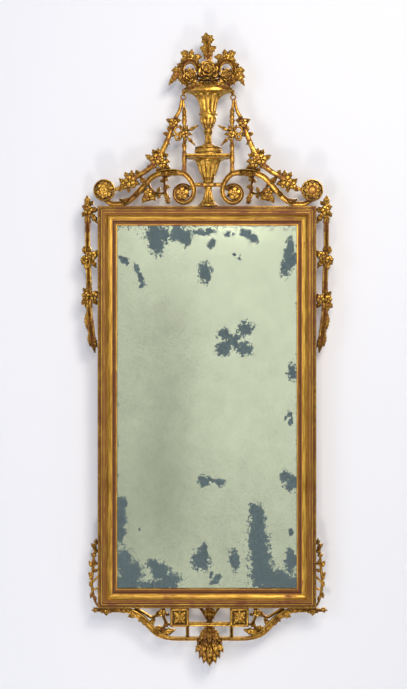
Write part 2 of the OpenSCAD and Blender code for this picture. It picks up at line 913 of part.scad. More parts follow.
// Knot of a flower and leaves in front of the tassel's cord, with the loop of a bow
module knot(s) {
  loop = [20, 12];
  loop_r = 11;
  color(gold)
    crest(s)
      translate([tassel_x, -knot_d, knot_z]) {
        flower(0, 0, 18, 14);
        for (l = knot_leaves)
          leaf(l[0], l[1], l[2], l[3], l[4], 10);
        ribbon([for (a = [200:-36:20]) [loop[0] + loop_r * cos(a), loop[1] + loop_r * sin(a), 5, 6]]);
      }
}

module knot_left() { knot(-1); }
module knot_right() { knot(1); }

garland_points = [
  [99, 287, 13], [109, 268, 15], [118, 240, 16], [129, 210, 17], [141, 182, 18], [155, 157, 18],
  [172, 132, 17], [195, 113, 17], [218, 99, 17], [241, 85, 17], [263, 67, 14]
];

garland_path = [for (p = concat([[ring_x + 6, hang_z, 8], [ring_x + 10, 308, 11]],
    [for (q = garland_points) [side_x(q[0]), q[1], q[2]]], [[patera[0] - patera_r + 3, 52, 11]]))
  [p[0], p[1], p[2], garland_d * p[2] / 16]];

// Flowers as x, z, radius, height and petals, and leaves as x, z, angle, length and width
garland_flowers = [[110, 264, 15, 18, 5], [167, 148, 19, 22, 5], [146, 136, 15, 19, 5], [247, 80, 19, 20, 5],
  [266, 67, 13, 17, 4]];
garland_leaves = [[116, 252, 290, 20, 13], [122, 232, 205, 20, 12],
  [156, 162, 85, 24, 14], [144, 146, 190, 24, 14], [140, 130, 205, 22, 13], [176, 148, 35, 28, 14],
  [242, 88, 92, 28, 15], [236, 78, 200, 22, 13], [262, 72, 40, 27, 13], [220, 100, 62, 18, 12]];

// Garland of roses and leaves from a ring to the end patera, tied to the tassel's cord
module garland(s) {
  tie_z = 262;
  tie_drop = 10;
  above_tie = tie_z + 18;
  color(gold)
    crest(s)
      difference() {
        union() {
          ribbon(garland_path);
          ribbon([[tassel_x, tie_z - tie_drop, 6, 7], [side_x(108), tie_z, 6, 9]]);
          for (f = garland_flowers)
            flower(side_x(f[0]), f[1], f[2], f[3], f[4], f[0]);
          leaves(garland_leaves, 12);
        }
        tassel_body(2 * fit);
        scroll_band();
        wrapped_leaves();
        patera_room();
        translate([0, -60, above_tie])
          cube([ring_x + 4, 80, 80]);
      }
}

module garland_left() { garland(-1); }
module garland_right() { garland(1); }

// ---------- the bouquet ----------

// Leaves under the centre rose, which lie on the urn's shoulder
module rose_leaves() {
  for (a = [-62, -28, 208, 242])
    acanthus(rose_r * 0.6 * cos(a), rose_z + rose_r * 0.6 * sin(a), a, rose_r * 0.62, 17, 13);
}

// Roses over the lip, on the urn's shoulder
module centre_rose() {
  color(gold)
    crest()
      difference() {
        union() {
          rose(0, rose_z, rose_r, 38, 6, 15);
          rose_leaves();
        }
        urn_room();
      }
}

// Room for a rose, as a hole with its outline
module rose_room(at, r, petals, turn) {
  translate([at[0], over, at[1]])
    rotate([90, 0, 0])
      rotate(turn)
        cylinder(60, r, r, $fn = 3 * petals);
}

module centre_rose_room() {
  rose_room([0, rose_z], rose_r, 6, 15);
  rose_leaves();
}

side_rose = [57, 410];
side_rose_r = 23;
side_rose_leaf_l = 14;

module side_roses() {
  seat = side_rose_r - 7;
  color(gold)
    for (s = [-1, 1])
      crest(s)
        difference() {
          union() {
            rose(side_rose[0], side_rose[1], side_rose_r, 28);
            for (a = [-20, -70, 200, 250])
              leaf(side_rose[0] + seat * cos(a), side_rose[1] + seat * sin(a), a, side_rose_leaf_l, 12, 12);
          }
          urn_room();
          centre_rose_room();
        }
}

bouquet_stem = [[33, 428, 8, 9], [38, 446, 9, 9], [46, 460, 9, 10], [58, 470, 10, 10], [74, 462, 10, 10],
  [83, 446, 10, 10], [84, 430, 10, 10], [76, 412, 10, 10]];
bouquet_leaves = [[60, 474, 28, 32, 19], [60, 470, -14, 28, 17], [55, 474, 100, 24, 15],
  [50, 472, 178, 32, 16], [85, 432, -2, 34, 19], [86, 426, -30, 36, 20], [84, 420, -72, 24, 14],
  [80, 440, 60, 16, 10]];

// Star flower on an arched stem, with the drooping outer leaf; the left one hangs lower
module bouquet_sprig(s) {
  lean = s < 0 ? 8 : 0;
  leaf_h = 13;
  color(gold)
    crest(s)
      difference() {
        union() {
          ribbon(bouquet_stem);
          bud(57, 472, 0, 20, 18, 16);
          for (l = bouquet_leaves)
            leaf(l[0], l[1], l[2], l[3], l[4], leaf_h);
          acanthus(84, 434, -50 - lean, 62, 22, leaf_h);
        }
        centre_rose_room();
        rose_room(side_rose, side_rose_r, 5, 0);
      }
}

module bouquet_sprig_left() { bouquet_sprig(-1); }
module bouquet_sprig_right() { bouquet_sprig(1); }

// The finial's stem and leaves, with z measured from its base on the centre rose
finial_stem = [[0, -4, 24, 12], [-1, 16, 20, 12], [-2, 32, 22, 12], [-3, 46, 15, 10], [-4, 60, 16, 10]];
finial_leaves = [[-5, 52, 94, 35, 24], [-2, 58, 196, 20, 16], [-4, 54, 12, 24, 16], [-4, 24, 158, 28, 17],
  [0, 20, 32, 32, 18], [2, 6, 62, 26, 13], [-4, 6, 120, 26, 13]];

// Sprig of leaves that finishes the crest and leans a little to the left
module finial_sprig() {
  base = rose_z + rose_r + gap;
  color(gold)
    crest()
      translate([0, 0, base])
        difference() {
          union() {
            ribbon(finial_stem);
            for (l = finial_leaves)
              leaf(l[0], l[1], l[2], l[3], l[4], 12);
          }
          translate([-40, -40, -10])
            cube([80, 60, 10]);
        }
}

// ---------- the side drops ----------

// Frame of a stile's outer edge, x outwards; z is measured from the given height
module at_edge(s, z) {
  translate([0, -stay_t, z])
    mirror([s < 0 ? 1 : 0, 0, 0])
      translate([frame_w / 2, 0, 0])
        children();
}

module beyond_edge() {
  translate([-60, -60, -frame_h])
    cube([60, 80, 2 * frame_h]);
}

// The drop's cord and its long tapering end: x from the cord's line, z and width
drop_points = [[0, 6, 10], [0, -20, 17], [0, -80, 17], [0, -128, 17], [-1, -165, 18], [-3, -210, 18],
  [-4, -245, 19], [-4, -292, 19], [-5, -322, 19], [-6, -350, 22], [-11, -390, 23], [-16, -428, 20],
  [-20, -448, 12], [-23, -463, 3]];

// Its two upper bunches, and the third, which hangs lower on the right
drop_flowers = [[30, -12, 15, 20], [17, -155, 14, 21], [42, -168, 13, 22]];
drop_leaves = [[32, 2, 85, 36, 19], [33, -6, 22, 22, 14], [24, -10, 180, 28, 17], [42, -16, -50, 22, 14],
  [36, -24, 262, 44, 18], [22, -20, 240, 42, 15], [14, -148, 176, 22, 17], [42, -150, 72, 30, 15],
  [22, -166, -120, 36, 13], [36, -172, 264, 38, 20], [31, -330, -104, 66, 16], [34, -332, -88, 60, 16],
  [27, -395, -92, 52, 14], [22, -398, -112, 56, 14]];
bunch_flowers = [[14, -282, 14, 21], [38, -282, 13, 19]];
bunch_leaves = [[14, -276, 162, 20, 14], [37, -290, -52, 28, 13], [28, -268, 92, 26, 15],
  [30, -290, 268, 50, 22]];

// Drop of flowers and leaves on a cord, ending in a leafy tassel
module side_drop(s) {
  low = s < 0 ? 0 : -10;
  color(gold)
    at_edge(s, top_z)
      difference() {
        union() {
          ribbon([for (p = drop_points) [drop_x + p[0], p[1], p[2], 0.6 * p[2] + 3]]);
          for (f = concat(drop_flowers, [for (b = bunch_flowers) [b[0], b[1] + low, b[2], b[3]]]))
            flower(f[0], f[1], f[2], f[3], 5, f[1]);
          for (l = concat(drop_leaves, [for (b = bunch_leaves) [b[0], b[1] + low, b[2], b[3], b[4]]]))
            leaf(l[0], l[1], l[2], l[3], l[4], 16);
        }
        beyond_edge();
      }
}

module side_drop_left() { side_drop(-1); }
module side_drop_right() { side_drop(1); }

// The climbing sprig: its stem, the twigs that run back to the frame, its buds and its leaves
climber_stem = [[5, 206, 5, 7], [10, 186, 6, 8], [14, 160, 7, 9], [16, 128, 8, 9], [18, 104, 8, 9],
  [20, 80, 8, 9], [18, 55, 8, 9], [13, 30, 7, 8], [6, 11, 6, 8], [-4, -1, 6, 8]];
climber_twigs = [[15, 130, 144], [18, 78, 104], [18, 54, 62]];
climber_buds = [[6, 208, 82, 22, 13], [11, 188, 75, 18, 15], [15, 165, 20, 19, 17]];
climber_leaves = [[16, 126, 57, 25, 12], [15, 130, 98, 24, 11], [10, 190, 40, 16, 9], [20, 84, 78, 24, 11],
  [19, 62, 66, 20, 10], [17, 50, -72, 24, 10]];

// Sprig of buds and leaves climbing from the frame's lower corner
module lower_sprig(s) {
  inside = -6;
  color(gold)
    at_edge(s, bottom_z)
      difference() {
        union() {
          ribbon(climber_stem);
          for (t = climber_twigs)
            ribbon([[t[0], t[1], 6, 8], [inside, t[2], 6, 8]]);
          for (b = climber_buds)
            bud(b[0], b[1], b[2], b[3], b[4], 15);
          for (l = climber_leaves)
            leaf(l[0], l[1], l[2], l[3], l[4], 12);
        }
        beyond_edge();
      }
}

module lower_sprig_left() { lower_sprig(-1); }
module lower_sprig_right() { lower_sprig(1); }

// ---------- the apron ----------

// The apron's frame: its axis, with z down from the bottom rail's lower edge
module apron(s = 1) {
  translate([apron_shift, -stay_t, bottom_z])
    mirror([s < 0 ? 1 : 0, 0, 0])
      children();
}

module above_rail_edge() {
  translate([-frame_w, -60, 0])
    cube([2 * frame_w, 80, 60]);
}

// The apron's scroll from its bud at the corner to the middle, as x, z and width
apron_run = [[352, -9, 9], [322, -7, 12], [292, -6.5, 13], [264, -8, 13], [242, -14, 13], [222, -25, 14],
  [206, -38, 14], [190, -55, 15], [173, base_z + 25, 15], [154, base_z + 11, 13], [131, base_z + 3, 11],
  [106, base_z, base_w], [72, base_z, base_w]];
// The branches inside the scroll, as x and z
apron_branches = [
  [[236, -1], [208, -18], [184, -32], [167, -25], [151, -15], [142, 1]],
  [[151, -18], [144, -34], [139, -50], [147, -68], [163, -82]]
];
apron_leaves = [[326, -5, 270, 24, 17], [320, -7, 232, 17, 11], [333, -7, 308, 17, 11],
  [252, -12, 215, 26, 14], [228, -22, -16, 34, 14], [206, -34, -30, 24, 12], [154, -82, 168, 52, 18],
  [186, -56, 120, 24, 13],
  [172, -70, 160, 26, 13], [141, -50, 235, 18, 11], [178, -32, 262, 18, 11], [268, -9, 5, 40, 12]];

// Outer scroll of the apron, from the corner bud to the bottom bar
module apron_scroll(s) {
  scroll_h = 14;
  branch_w = 9;
  branch_h = 11;
  block_end = block_x + block_s;
  color(gold)
    apron(s)
      difference() {
        union() {
          ribbon(concat([for (p = apron_run) [side_x(p[0]), p[1], p[2], scroll_h]],
            [[drop_half, base_z, base_w, scroll_h]]));
          for (b = apron_branches)
            ribbon([for (p = b) [side_x(p[0]), p[1], branch_w, branch_h]]);
          ribbon([for (p = [[side_x(142), 21], [side_x(135), 8], [block_end - 3, 5]])
            [p[0], p[1] - block_s, branch_w, branch_h]]);
          flower(side_x(150), -16, 12, branch_h + 5);
          bud(side_x(362), -8, -5, 24, 16, scroll_h);
          bud(side_x(345), -9, 0, 13, 12, scroll_h);
          leaves(apron_leaves, scroll_h + 1);
        }
        above_rail_edge();
        translate([block_x - 20, -60, -block_s - gap])
          cube([block_s + 20 + fit, 80, block_s + 2]);
      }
}

module apron_scroll_left() { apron_scroll(-1); }
module apron_scroll_right() { apron_scroll(1); }

// Square block with a raised border round a four petalled rosette
module rosette_block(s) {
  border = 8;
  sunk = 9;
  inner = block_s - 2 * border;
  petal_r = inner * 0.27;
  color(gold)
    apron(s)
      translate([block_x + block_s / 2, 0, -block_s / 2])
        rotate([90, 0, 0])
          union() {
            difference() {
              translate([-block_s / 2, -block_s / 2, 0])
                cube([block_s, block_s, block_d - 3]);
              translate([-inner / 2, -inner / 2, block_d - sunk - 3])
                cube([inner, inner, sunk + over]);
            }
            difference() {
              translate([-block_s / 2 + 2, -block_s / 2 + 2, block_d - 4])
                cube([block_s - 4, block_s - 4, 4]);
              translate([-inner / 2 - 2, -inner / 2 - 2, block_d - 5])
                cube([inner + 4, inner + 4, 5 + over]);
            }
            intersection() {
              translate([0, 0, block_d - sunk - 3])
                union() {
                  for (a = [45:90:359])
                    rotate(a)
                      translate([petal_r * 1.05, 0, 0])
                        sphere(petal_r);
                  for (a = [0:90:359])
                    rotate(a)
                      translate([petal_r * 1.1, 0, 0])
                        sphere(petal_r * 0.5);
                  translate([0, 0, 5])
                    sphere(petal_r * 0.75);
                }
              translate([-inner / 2 - over / 2, -inner / 2 - over / 2, block_d - sunk - 4])
                cube([inner + over, inner + over, sunk + 6]);
            }
          }
}

module rosette_block_left() { rosette_block(-1); }
module rosette_block_right() { rosette_block(1); }

// Bar between the two blocks, chamfered along its front
module apron_bar() {
  bar_d = 15;
  chamfer = 3;
  color(gold)
    apron()
      translate([-block_x, 0, -block_s])
        rotate([90, 0, 90])
          linear_extrude(2 * block_x)
            polygon([[0, 0], [chamfer - bar_d, 0], [-bar_d, chamfer], [-bar_d, apron_bar_h - chamfer],
              [chamfer - bar_d, apron_bar_h], [0, apron_bar_h]]);
}

// Posts from the blocks' inner edges down to the bottom bar
module apron_posts() {
  half = 6;
  post_d = 11;
  chamfer = 3;
  low = base_z + base_w / 2 + gap;
  color(gold)
    for (s = [-1, 1])
      apron(s)
        translate([block_x + half - 1, 0, low])
          linear_extrude(-block_s - low)
            polygon([[-half, 0], [-half, chamfer - post_d], [chamfer - half, -post_d],
              [half - chamfer, -post_d], [half, chamfer - post_d], [half, 0]]);
}

// Two bowed stems with a hanging husk between them, in the middle of the apron
module apron_arcs() {
  arc_bottom = apron_bar_h - block_s;
  arc_h = 13;
  color(old_gold)
    apron()
      difference() {
        union() {
          for (s = [-1, 1]) {
            ribbon([for (p = [[33, 4], [24, -8], [15, -22], [7, -37], [1, -52]])
              [s * p[0], p[1], 11, arc_h]]);
            leaf(s * 9, 2, 270 + s * 6, 40, 15, arc_h + 3);
          }
          leaf(0, 2, 270, 48, 18, arc_h + 8);
        }
        above_rail_edge();
        translate([-60, -60, arc_bottom - 30])
          cube([120, 80, 30]);
      }
}

// Outline of the hanging acanthus as z and width, and its two tiers of leaves as x, z, angle
// from straight down, length, width and height; z is measured from the middle of the apron's foot
acanthus_outline = [[20, 42], [-1, 56], [-25, 56], [-48, 66], [-64, 42], [-78, 16], [-85, 4]];
acanthus_upper = [[10, 30, 30, 56, 20, 20], [8, 36, 14, 58, 18, 23]];
acanthus_lower = [[16, -9, 34, 46, 22, 20], [8, -7, 19, 62, 22, 22], [22, 4, 60, 24, 13, 16]];

// Hanging acanthus in two tiers
module acanthus_drop() {
  top = -block_s;
  color(gold)
    apron()
      difference() {
        union() {
          ribbon(concat([[0, top + over, 30, 14]],
            [for (p = acanthus_outline) [0, base_z + p[0], p[1], 14]]));
          for (s = [-1, 1], l = concat(acanthus_upper, acanthus_lower))
            leaf(s * l[0], base_z + l[1], 270 + s * l[2], l[3], l[4], l[5]);
          leaf(0, top + over, 270, 64, 20, 28);
          leaf(0, base_z - 6, 270, 80, 28, 26);
          bud(0, top - 9, 90, 20, 18, 30);
        }
        translate([-60, -60, top])
          cube([120, 80, 60]);
        for (s = [0, 1])
          mirror([s, 0, 0])
            translate([drop_half - gap, -60, base_z - base_w])
              cube([40, 80, base_w * 2]);
      }
}

top_rail();
bottom_rail();
left_stile();
right_stile();
corner_keys();
outer_pearls_top();
outer_pearls_bottom();
outer_pearls_left();
outer_pearls_right();
sight_pearls_top();
sight_pearls_bottom();
sight_pearls_left();
sight_pearls_right();
mirror_glass();
tin_amalgam();
glazing_blocks();
backboard_upper();
backboard_middle();
backboard_lower();
backboard_nails();
crest_stay();
stay_screws();
scroll_left();
scroll_right();
patera_left();
patera_right();
volute_rosettes();
spandrel_sprig_left();
spandrel_sprig_right();
pedestal_foot();
cross_bar();
acanthus_bell();
abacus();
socle();
urn_foot();
urn_body();
urn_rings();
tassel_left();
tassel_right();
knot_left();
knot_right();
garland_left();
garland_right();
centre_rose();
side_roses();
bouquet_sprig_left();
bouquet_sprig_right();
finial_sprig();
side_drop_left();
side_drop_right();
lower_sprig_left();
lower_sprig_right();
apron_scroll_left();
apron_scroll_right();
rosette_block_left();
rosette_block_right();
apron_bar();
apron_posts();
apron_arcs();
acanthus_drop();
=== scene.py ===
from contextlib import contextmanager
import math

import bmesh
import bpy
from bpy.props import FloatProperty, FloatVectorProperty, PointerProperty
from mathutils import Matrix, Vector, noise


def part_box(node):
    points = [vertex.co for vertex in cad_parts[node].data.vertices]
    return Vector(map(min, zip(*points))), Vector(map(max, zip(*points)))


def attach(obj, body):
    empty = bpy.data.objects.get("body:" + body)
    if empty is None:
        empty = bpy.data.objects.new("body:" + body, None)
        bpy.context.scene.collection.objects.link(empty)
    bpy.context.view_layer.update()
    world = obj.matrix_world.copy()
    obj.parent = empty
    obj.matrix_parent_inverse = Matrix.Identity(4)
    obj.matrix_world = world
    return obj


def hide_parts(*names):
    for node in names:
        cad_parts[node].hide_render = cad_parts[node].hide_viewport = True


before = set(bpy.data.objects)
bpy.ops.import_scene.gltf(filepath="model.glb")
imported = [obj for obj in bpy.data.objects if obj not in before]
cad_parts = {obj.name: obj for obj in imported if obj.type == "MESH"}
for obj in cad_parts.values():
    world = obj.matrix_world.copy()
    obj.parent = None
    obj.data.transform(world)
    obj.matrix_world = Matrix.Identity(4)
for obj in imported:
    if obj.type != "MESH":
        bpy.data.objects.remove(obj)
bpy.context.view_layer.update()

bl_info = {
    "name": "Pier mirror",
    "version": (1, 0, 0),
    "blender": (4, 5, 0),
    "location": "View3D > Sidebar > Pier mirror",
    "description": "Carved and gilded pier mirror with an antique plate",
    "category": "Add Mesh",
}

# ---------- places, in millimetres of the row frame ----------

MM = 0.001
noise.seed_set(7)  # the wobble of the foil's losses is the same in every run
STAY = 4  # thickness of the iron stay, on which the carving's flat backs lie
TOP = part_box("top_rail")[1].z / MM
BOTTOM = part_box("bottom_rail")[0].z / MM
HALF_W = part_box("right_stile")[1].x / MM
HALF_H = (TOP - BOTTOM) / 2
MIDDLE = (TOP + BOTTOM) / 2
RAIL_W = 61
CREST_X = 4  # the crest and the apron hang a little to the right of the frame's middle
APRON_X = 8
SIDES = ((-1, "left"), (1, "right"))
TO_METRES = Matrix.Diagonal((MM, MM, MM, 1))


def placed(x, z, side=1, proud=0.0):
    """From a carving's own millimetres to the row frame, mirrored for side -1."""
    return TO_METRES @ Matrix.Translation((x, -STAY - proud, z)) @ Matrix.Diagonal((side, 1, 1, 1))


def on_crest(side=1, proud=0.0):
    return placed(CREST_X, TOP, side, proud)


def on_apron(side=1):
    return placed(APRON_X, BOTTOM, side)


def on_edge(side, z):
    return placed(side * HALF_W, z, side)


def off(x, z, distance, angle):
    """The point at a distance from x, z, in the direction of an angle in degrees."""
    return x + distance * math.cos(math.radians(angle)), z + distance * math.sin(math.radians(angle))


# ---------- colours and nodes ----------


def linear(code):
    """Linear colour of an sRGB hex value."""
    shares = [int(code[i : i + 2], 16) / 255 for i in (1, 3, 5)]
    return tuple(c / 12.92 if c <= 0.04045 else ((c + 0.055) / 1.055) ** 2.4 for c in shares) + (1.0,)


def add(tree, kind, inputs=None, out=0, **settings):
    """Adds a node with its settings, links or sets its inputs, and gives one of its outputs."""
    node = tree.nodes.new("ShaderNode" + kind)
    for name, value in settings.items():
        setattr(node, name, value)
    for key, value in (inputs or {}).items():
        if isinstance(value, bpy.types.NodeSocket):
            tree.links.new(value, node.inputs[key])
        else:
            node.inputs[key].default_value = value
    return node.outputs[out] if node.outputs else node


def settings():
    return bpy.context.scene.pier_mirror


def colour(value):
    """A colour setting as a node takes it."""
    return tuple(value) + (1.0,)


def new_material(name):
    """A material with an empty node tree, and the place on the piece in metres."""
    material = bpy.data.materials.new(name)
    material.use_nodes = True
    material.node_tree.nodes.clear()
    return material, material.node_tree, add(material.node_tree, "TexCoord", out="Object")


def grain(mm):
    """Scale of a pattern whose largest features are so many millimetres across."""
    return 1 / (mm * MM)


SMOOTH = "SMOOTHSTEP"

# Wear across the moulding: distance from the outer edge in millimetres, and its level
BANDS = ((1, 0.52), (8, 0.5), (11, 0.56), (12.2, 0.16), (14.6, 0.16), (15.5, 0.64), (18.6, 0.62),
         (19.8, 0.16), (23.5, 0.18), (24.6, 0.54), (27.5, 0.6), (28.8, 0.06), (40, 0.1), (45.2, 0.16),
         (46.6, 0.72), (49, 0.66), (57, 0.5), (58, 0.1), (60.5, 0.2))


def moulding_bands(t, place):
    """How worn the run moulding is across its width, drawn out in streaks along its length."""
    x = add(t, "SeparateXYZ", {0: place}, out="X")
    z = x.node.outputs["Z"]
    from_middle = add(t, "Math", {0: z, 1: MIDDLE * MM}, operation="SUBTRACT")
    sideways = add(t, "Math", {0: x}, operation="ABSOLUTE")
    from_side = add(t, "Math", {0: HALF_W * MM, 1: sideways}, operation="SUBTRACT")
    endways = add(t, "Math", {0: from_middle}, operation="ABSOLUTE")
    from_end = add(t, "Math", {0: HALF_H * MM, 1: endways}, operation="SUBTRACT")
    across = add(t, "Math", {0: from_side, 1: from_end}, operation="MINIMUM")
    on_stile = add(t, "Math", {0: from_side, 1: from_end}, operation="LESS_THAN")
    along = add(t, "Mix", {0: on_stile, 2: x, 3: z})
    share = add(t, "Math", {0: across, 1: RAIL_W * MM}, operation="DIVIDE")
    level = add(t, "ValToRGB", {0: share})
    bands = level.node.color_ramp.elements
    for at, wear in BANDS:
        bands.new(at / RAIL_W).color = (wear, wear, wear, 1)
    # The ramp's own first and last elements go
    for end in (0, -1):
        bands.remove(bands[end])
    # Streaks long along each length and narrow across it, with other noise for stiles than for rails
    drawn = add(t, "CombineXYZ", {0: add(t, "Math", {0: along, 1: grain(70)}, operation="MULTIPLY"),
                                  1: add(t, "Math", {0: across, 1: grain(5)}, operation="MULTIPLY"),
                                  2: add(t, "Math", {0: on_stile, 1: 7.3}, operation="MULTIPLY")})
    streak = add(t, "TexNoise", {"Vector": drawn, "Scale": 1.0, "Detail": 5.0, "Roughness": 0.62})
    # The rails get more of the red bole than the stiles
    redder = add(t, "Math", {0: on_stile, 1: -0.17, 2: 0.12}, operation="MULTIPLY_ADD")
    return add(t, "Math", {0: level, 1: redder}, operation="ADD"), streak


def gilding(name, wear, grime_and_shade, moulded=False):
    """Water-gilded limewood: leaf burnished over red bole on gesso. The leaf gives a broken metallic
    sheen, the bole shows red where it is rubbed through, dirt and painted shade lie in the hollows,
    and the flat back is bare wood, browned with size."""
    material, t, place = new_material(name)
    s = settings()
    patches = add(t, "TexNoise", {"Vector": place, "Scale": grain(40), "Detail": 3.0})
    leaf = add(t, "TexNoise", {"Vector": place, "Scale": grain(10), "Detail": 4.0, "Roughness": 0.6})
    rub = add(t, "TexNoise", {"Vector": place, "Scale": grain(3.2), "Detail": 4.0, "Roughness": 0.65})
    scuff = add(t, "TexNoise", {"Vector": place, "Scale": grain(1.1), "Detail": 2.0})
    hollow = add(t, "AmbientOcclusion", {"Distance": 9 * MM}, out="AO", samples=6)
    ridge = add(t, "AmbientOcclusion", {"Distance": 2.4 * MM}, out="AO", samples=4, inside=True)
    amount, streak = moulding_bands(t, place) if moulded else (wear, leaf)
    # Where the leaf is rubbed through to the bole: in patches, in spots and on the ridges
    worn = add(t, "Math", {0: rub, 1: 0.15 if moulded else 0.3}, operation="MULTIPLY")
    worn = add(t, "Math", {0: patches, 1: 0.4, 2: worn}, operation="MULTIPLY_ADD")
    worn = add(t, "Math", {0: streak, 1: 0.7 if moulded else 0.3, 2: worn}, operation="MULTIPLY_ADD")
    worn = add(t, "Math", {0: amount, 1: 0.5, 2: worn}, operation="MULTIPLY_ADD")
    rubbed = add(t, "MapRange", {0: ridge, 1: 0.3, 2: 0.8, 3: 0.1, 4: 0.0})
    worn = add(t, "Math", {0: worn, 1: rubbed}, operation="ADD")
    start, end, most = (0.74, 0.89, 0.95) if moulded else (0.64, 0.78, 0.85)
    bare = add(t, "MapRange", {0: worn, 1: start, 2: end, 4: most}, interpolation_type=SMOOTH)
    # Dirt in the hollows, with painted shade there too, darker where the occlusion is deep, as uneven as
    # the leaf
    deep = add(t, "MapRange", {0: hollow, 1: 0.84, 2: 0.26}, interpolation_type=SMOOTH)
    film = add(t, "MapRange", {0: leaf, 1: 0.25, 2: 0.7, 3: 0.7, 4: 1.0})
    dirt_and_shade = add(t, "Math", {0: deep, 1: film}, operation="MULTIPLY")
    dirt_and_shade = add(t, "Math", {0: dirt_and_shade, 1: grime_and_shade}, operation="MULTIPLY", use_clamp=True)
    least = 0.15 if moulded else 0.0
    # The colour: thin and whole leaf, then the clay under it, then the dirt and painted shade
    shade = add(t, "MapRange", {0: streak, 1: 0.36, 2: 0.62, 3: least}, interpolation_type=SMOOTH)
    gold = add(t, "Mix", {0: shade, 6: colour(s.gold_deep), 7: colour(s.gold_bright)}, out=2,
               data_type="RGBA")
    clay = add(t, "Mix", {0: scuff, 6: linear("#6A3212"), 7: colour(s.bole)}, out=2, data_type="RGBA")
    tone = add(t, "Mix", {0: bare, 6: gold, 7: clay}, out=2, data_type="RGBA")
    tone = add(t, "Mix", {0: dirt_and_shade, 6: tone, 7: colour(s.grime_and_shade)}, out=2, data_type="RGBA")
    metal = add(t, "Math", {0: bare, 1: -0.7, 2: 1.0}, operation="MULTIPLY_ADD")
    metal = add(t, "Math", {0: dirt_and_shade, 1: -0.75, 2: metal}, operation="MULTIPLY_ADD", use_clamp=True)
    rough = add(t, "Math", {0: scuff, 1: 0.3, 2: bare}, operation="MULTIPLY_ADD")
    rough = add(t, "MapRange", {0: rough, 1: 0.1, 2: 1.2, 3: 0.4 if moulded else 0.33, 4: 0.62})
    # Bare wood on the faces that look back
    rear = add(t, "SeparateXYZ", {0: add(t, "NewGeometry", out="True Normal")}, out="Y")
    rear = add(t, "MapRange", {0: rear, 1: 0.85, 2: 0.92})
    wood = add(t, "Mix", {0: leaf, 6: linear("#6F5230"), 7: linear("#B3935F")}, out=2, data_type="RGBA")
    tone = add(t, "Mix", {0: rear, 6: tone, 7: wood}, out=2, data_type="RGBA")
    metal = add(t, "Math", {0: metal, 1: rear}, operation="SUBTRACT", use_clamp=True)
    rough = add(t, "Math", {0: rear, 1: 0.3, 2: rough}, operation="MULTIPLY_ADD")
    bump = add(t, "Bump", {"Height": rub, "Distance": 0.3 * MM, "Strength": 0.3})
    shader = add(t, "BsdfPrincipled", {"Base Color": tone, "Metallic": metal, "Roughness": rough,
                                       "Normal": bump})
    add(t, "OutputMaterial", {0: shader})
    return material


def gilt():
    """Leaf in good state, on most of the carving."""
    return gilding("water_gilding", 0.24, 0.95)


def worn_gilt():
    """Older, thinner leaf, with more of the red bole."""
    return gilding("worn_water_gilding", 0.46, 0.95)


def cord_gilt():
    """Leaf on the cords and arches, a little less rubbed and with less dirt and painted shade in it."""
    return gilding("thin_water_gilding", 0.22, 0.9)


def moulding_gilt():
    """Leaf on the run moulding, worn by bands and drawn out in streaks by cleaning."""
    return gilding("moulding_gilding", 0.3, 0.85, moulded=True)


def pine():
    """Planed softwood, oxidised brown: late wood in dark bands along the boards, and a film of dust."""
    material, t, place = new_material("aged_pine")
    long = add(t, "Mapping", {"Vector": place, "Scale": (0.06, 1, 1)})
    rings = add(t, "TexWave", {"Vector": long, "Scale": grain(85), "Distortion": 14.0, "Detail": 4.0,
                               "Detail Scale": 1.2}, out="Fac", wave_type="BANDS", bands_direction="Z")
    fibre = add(t, "TexNoise", {"Vector": long, "Scale": grain(1.6), "Detail": 3.0, "Roughness": 0.6})
    dust = add(t, "TexNoise", {"Vector": place, "Scale": grain(70), "Detail": 4.0, "Roughness": 0.6})
    late = add(t, "MapRange", {0: rings, 1: 0.15, 2: 0.95, 4: 0.6}, interpolation_type=SMOOTH)
    tone = add(t, "Mix", {0: late, 6: colour(settings().pine), 7: linear("#6B4524")}, out=2,
               data_type="RGBA")
    line = add(t, "MapRange", {0: fibre, 1: 0.35, 2: 0.75, 3: 0.0, 4: 0.45})
    tone = add(t, "Mix", {0: line, 6: tone, 7: linear("#4E3218")}, out=2, data_type="RGBA")
    film = add(t, "MapRange", {0: dust, 1: 0.4, 2: 0.75, 3: 0.05, 4: 0.5})
    tone = add(t, "Mix", {0: film, 6: tone, 7: linear("#8D8272")}, out=2, data_type="RGBA")
    rough = add(t, "MapRange", {0: dust, 1: 0.2, 2: 0.8, 3: 0.62, 4: 0.82})
    relief = add(t, "Math", {0: rings, 1: 0.5, 2: fibre}, operation="MULTIPLY_ADD")
    bump = add(t, "Bump", {"Height": relief, "Distance": 0.3 * MM, "Strength": 0.6})
    shader = add(t, "BsdfPrincipled", {"Base Color": tone, "Roughness": rough, "Normal": bump})
    add(t, "OutputMaterial", {0: shader})
    return material


def forged_iron():
    """Forged iron, blackened, with brown rust coming through in patches over its pitted face."""
    material, t, place = new_material("forged_iron")
    rust = add(t, "TexNoise", {"Vector": place, "Scale": grain(7), "Detail": 5.0, "Roughness": 0.65})
    pits = add(t, "TexNoise", {"Vector": place, "Scale": grain(1.2), "Detail": 4.0, "Roughness": 0.7})
    rusty = add(t, "MapRange", {0: rust, 1: 0.45, 2: 0.66}, interpolation_type=SMOOTH)
    tone = add(t, "Mix", {0: rusty, 6: colour(settings().iron), 7: linear("#6A4027")}, out=2,
               data_type="RGBA")
    metal = add(t, "MapRange", {0: rusty, 3: 0.8, 4: 0.1})
    rough = add(t, "MapRange", {0: pits, 1: 0.2, 2: 0.8, 3: 0.45, 4: 0.75})
    bump = add(t, "Bump", {"Height": pits, "Distance": 0.25 * MM, "Strength": 0.6})
    shader = add(t, "BsdfPrincipled", {"Base Color": tone, "Metallic": metal, "Roughness": rough,
                                       "Normal": bump})
    add(t, "OutputMaterial", {0: shader})
    return material


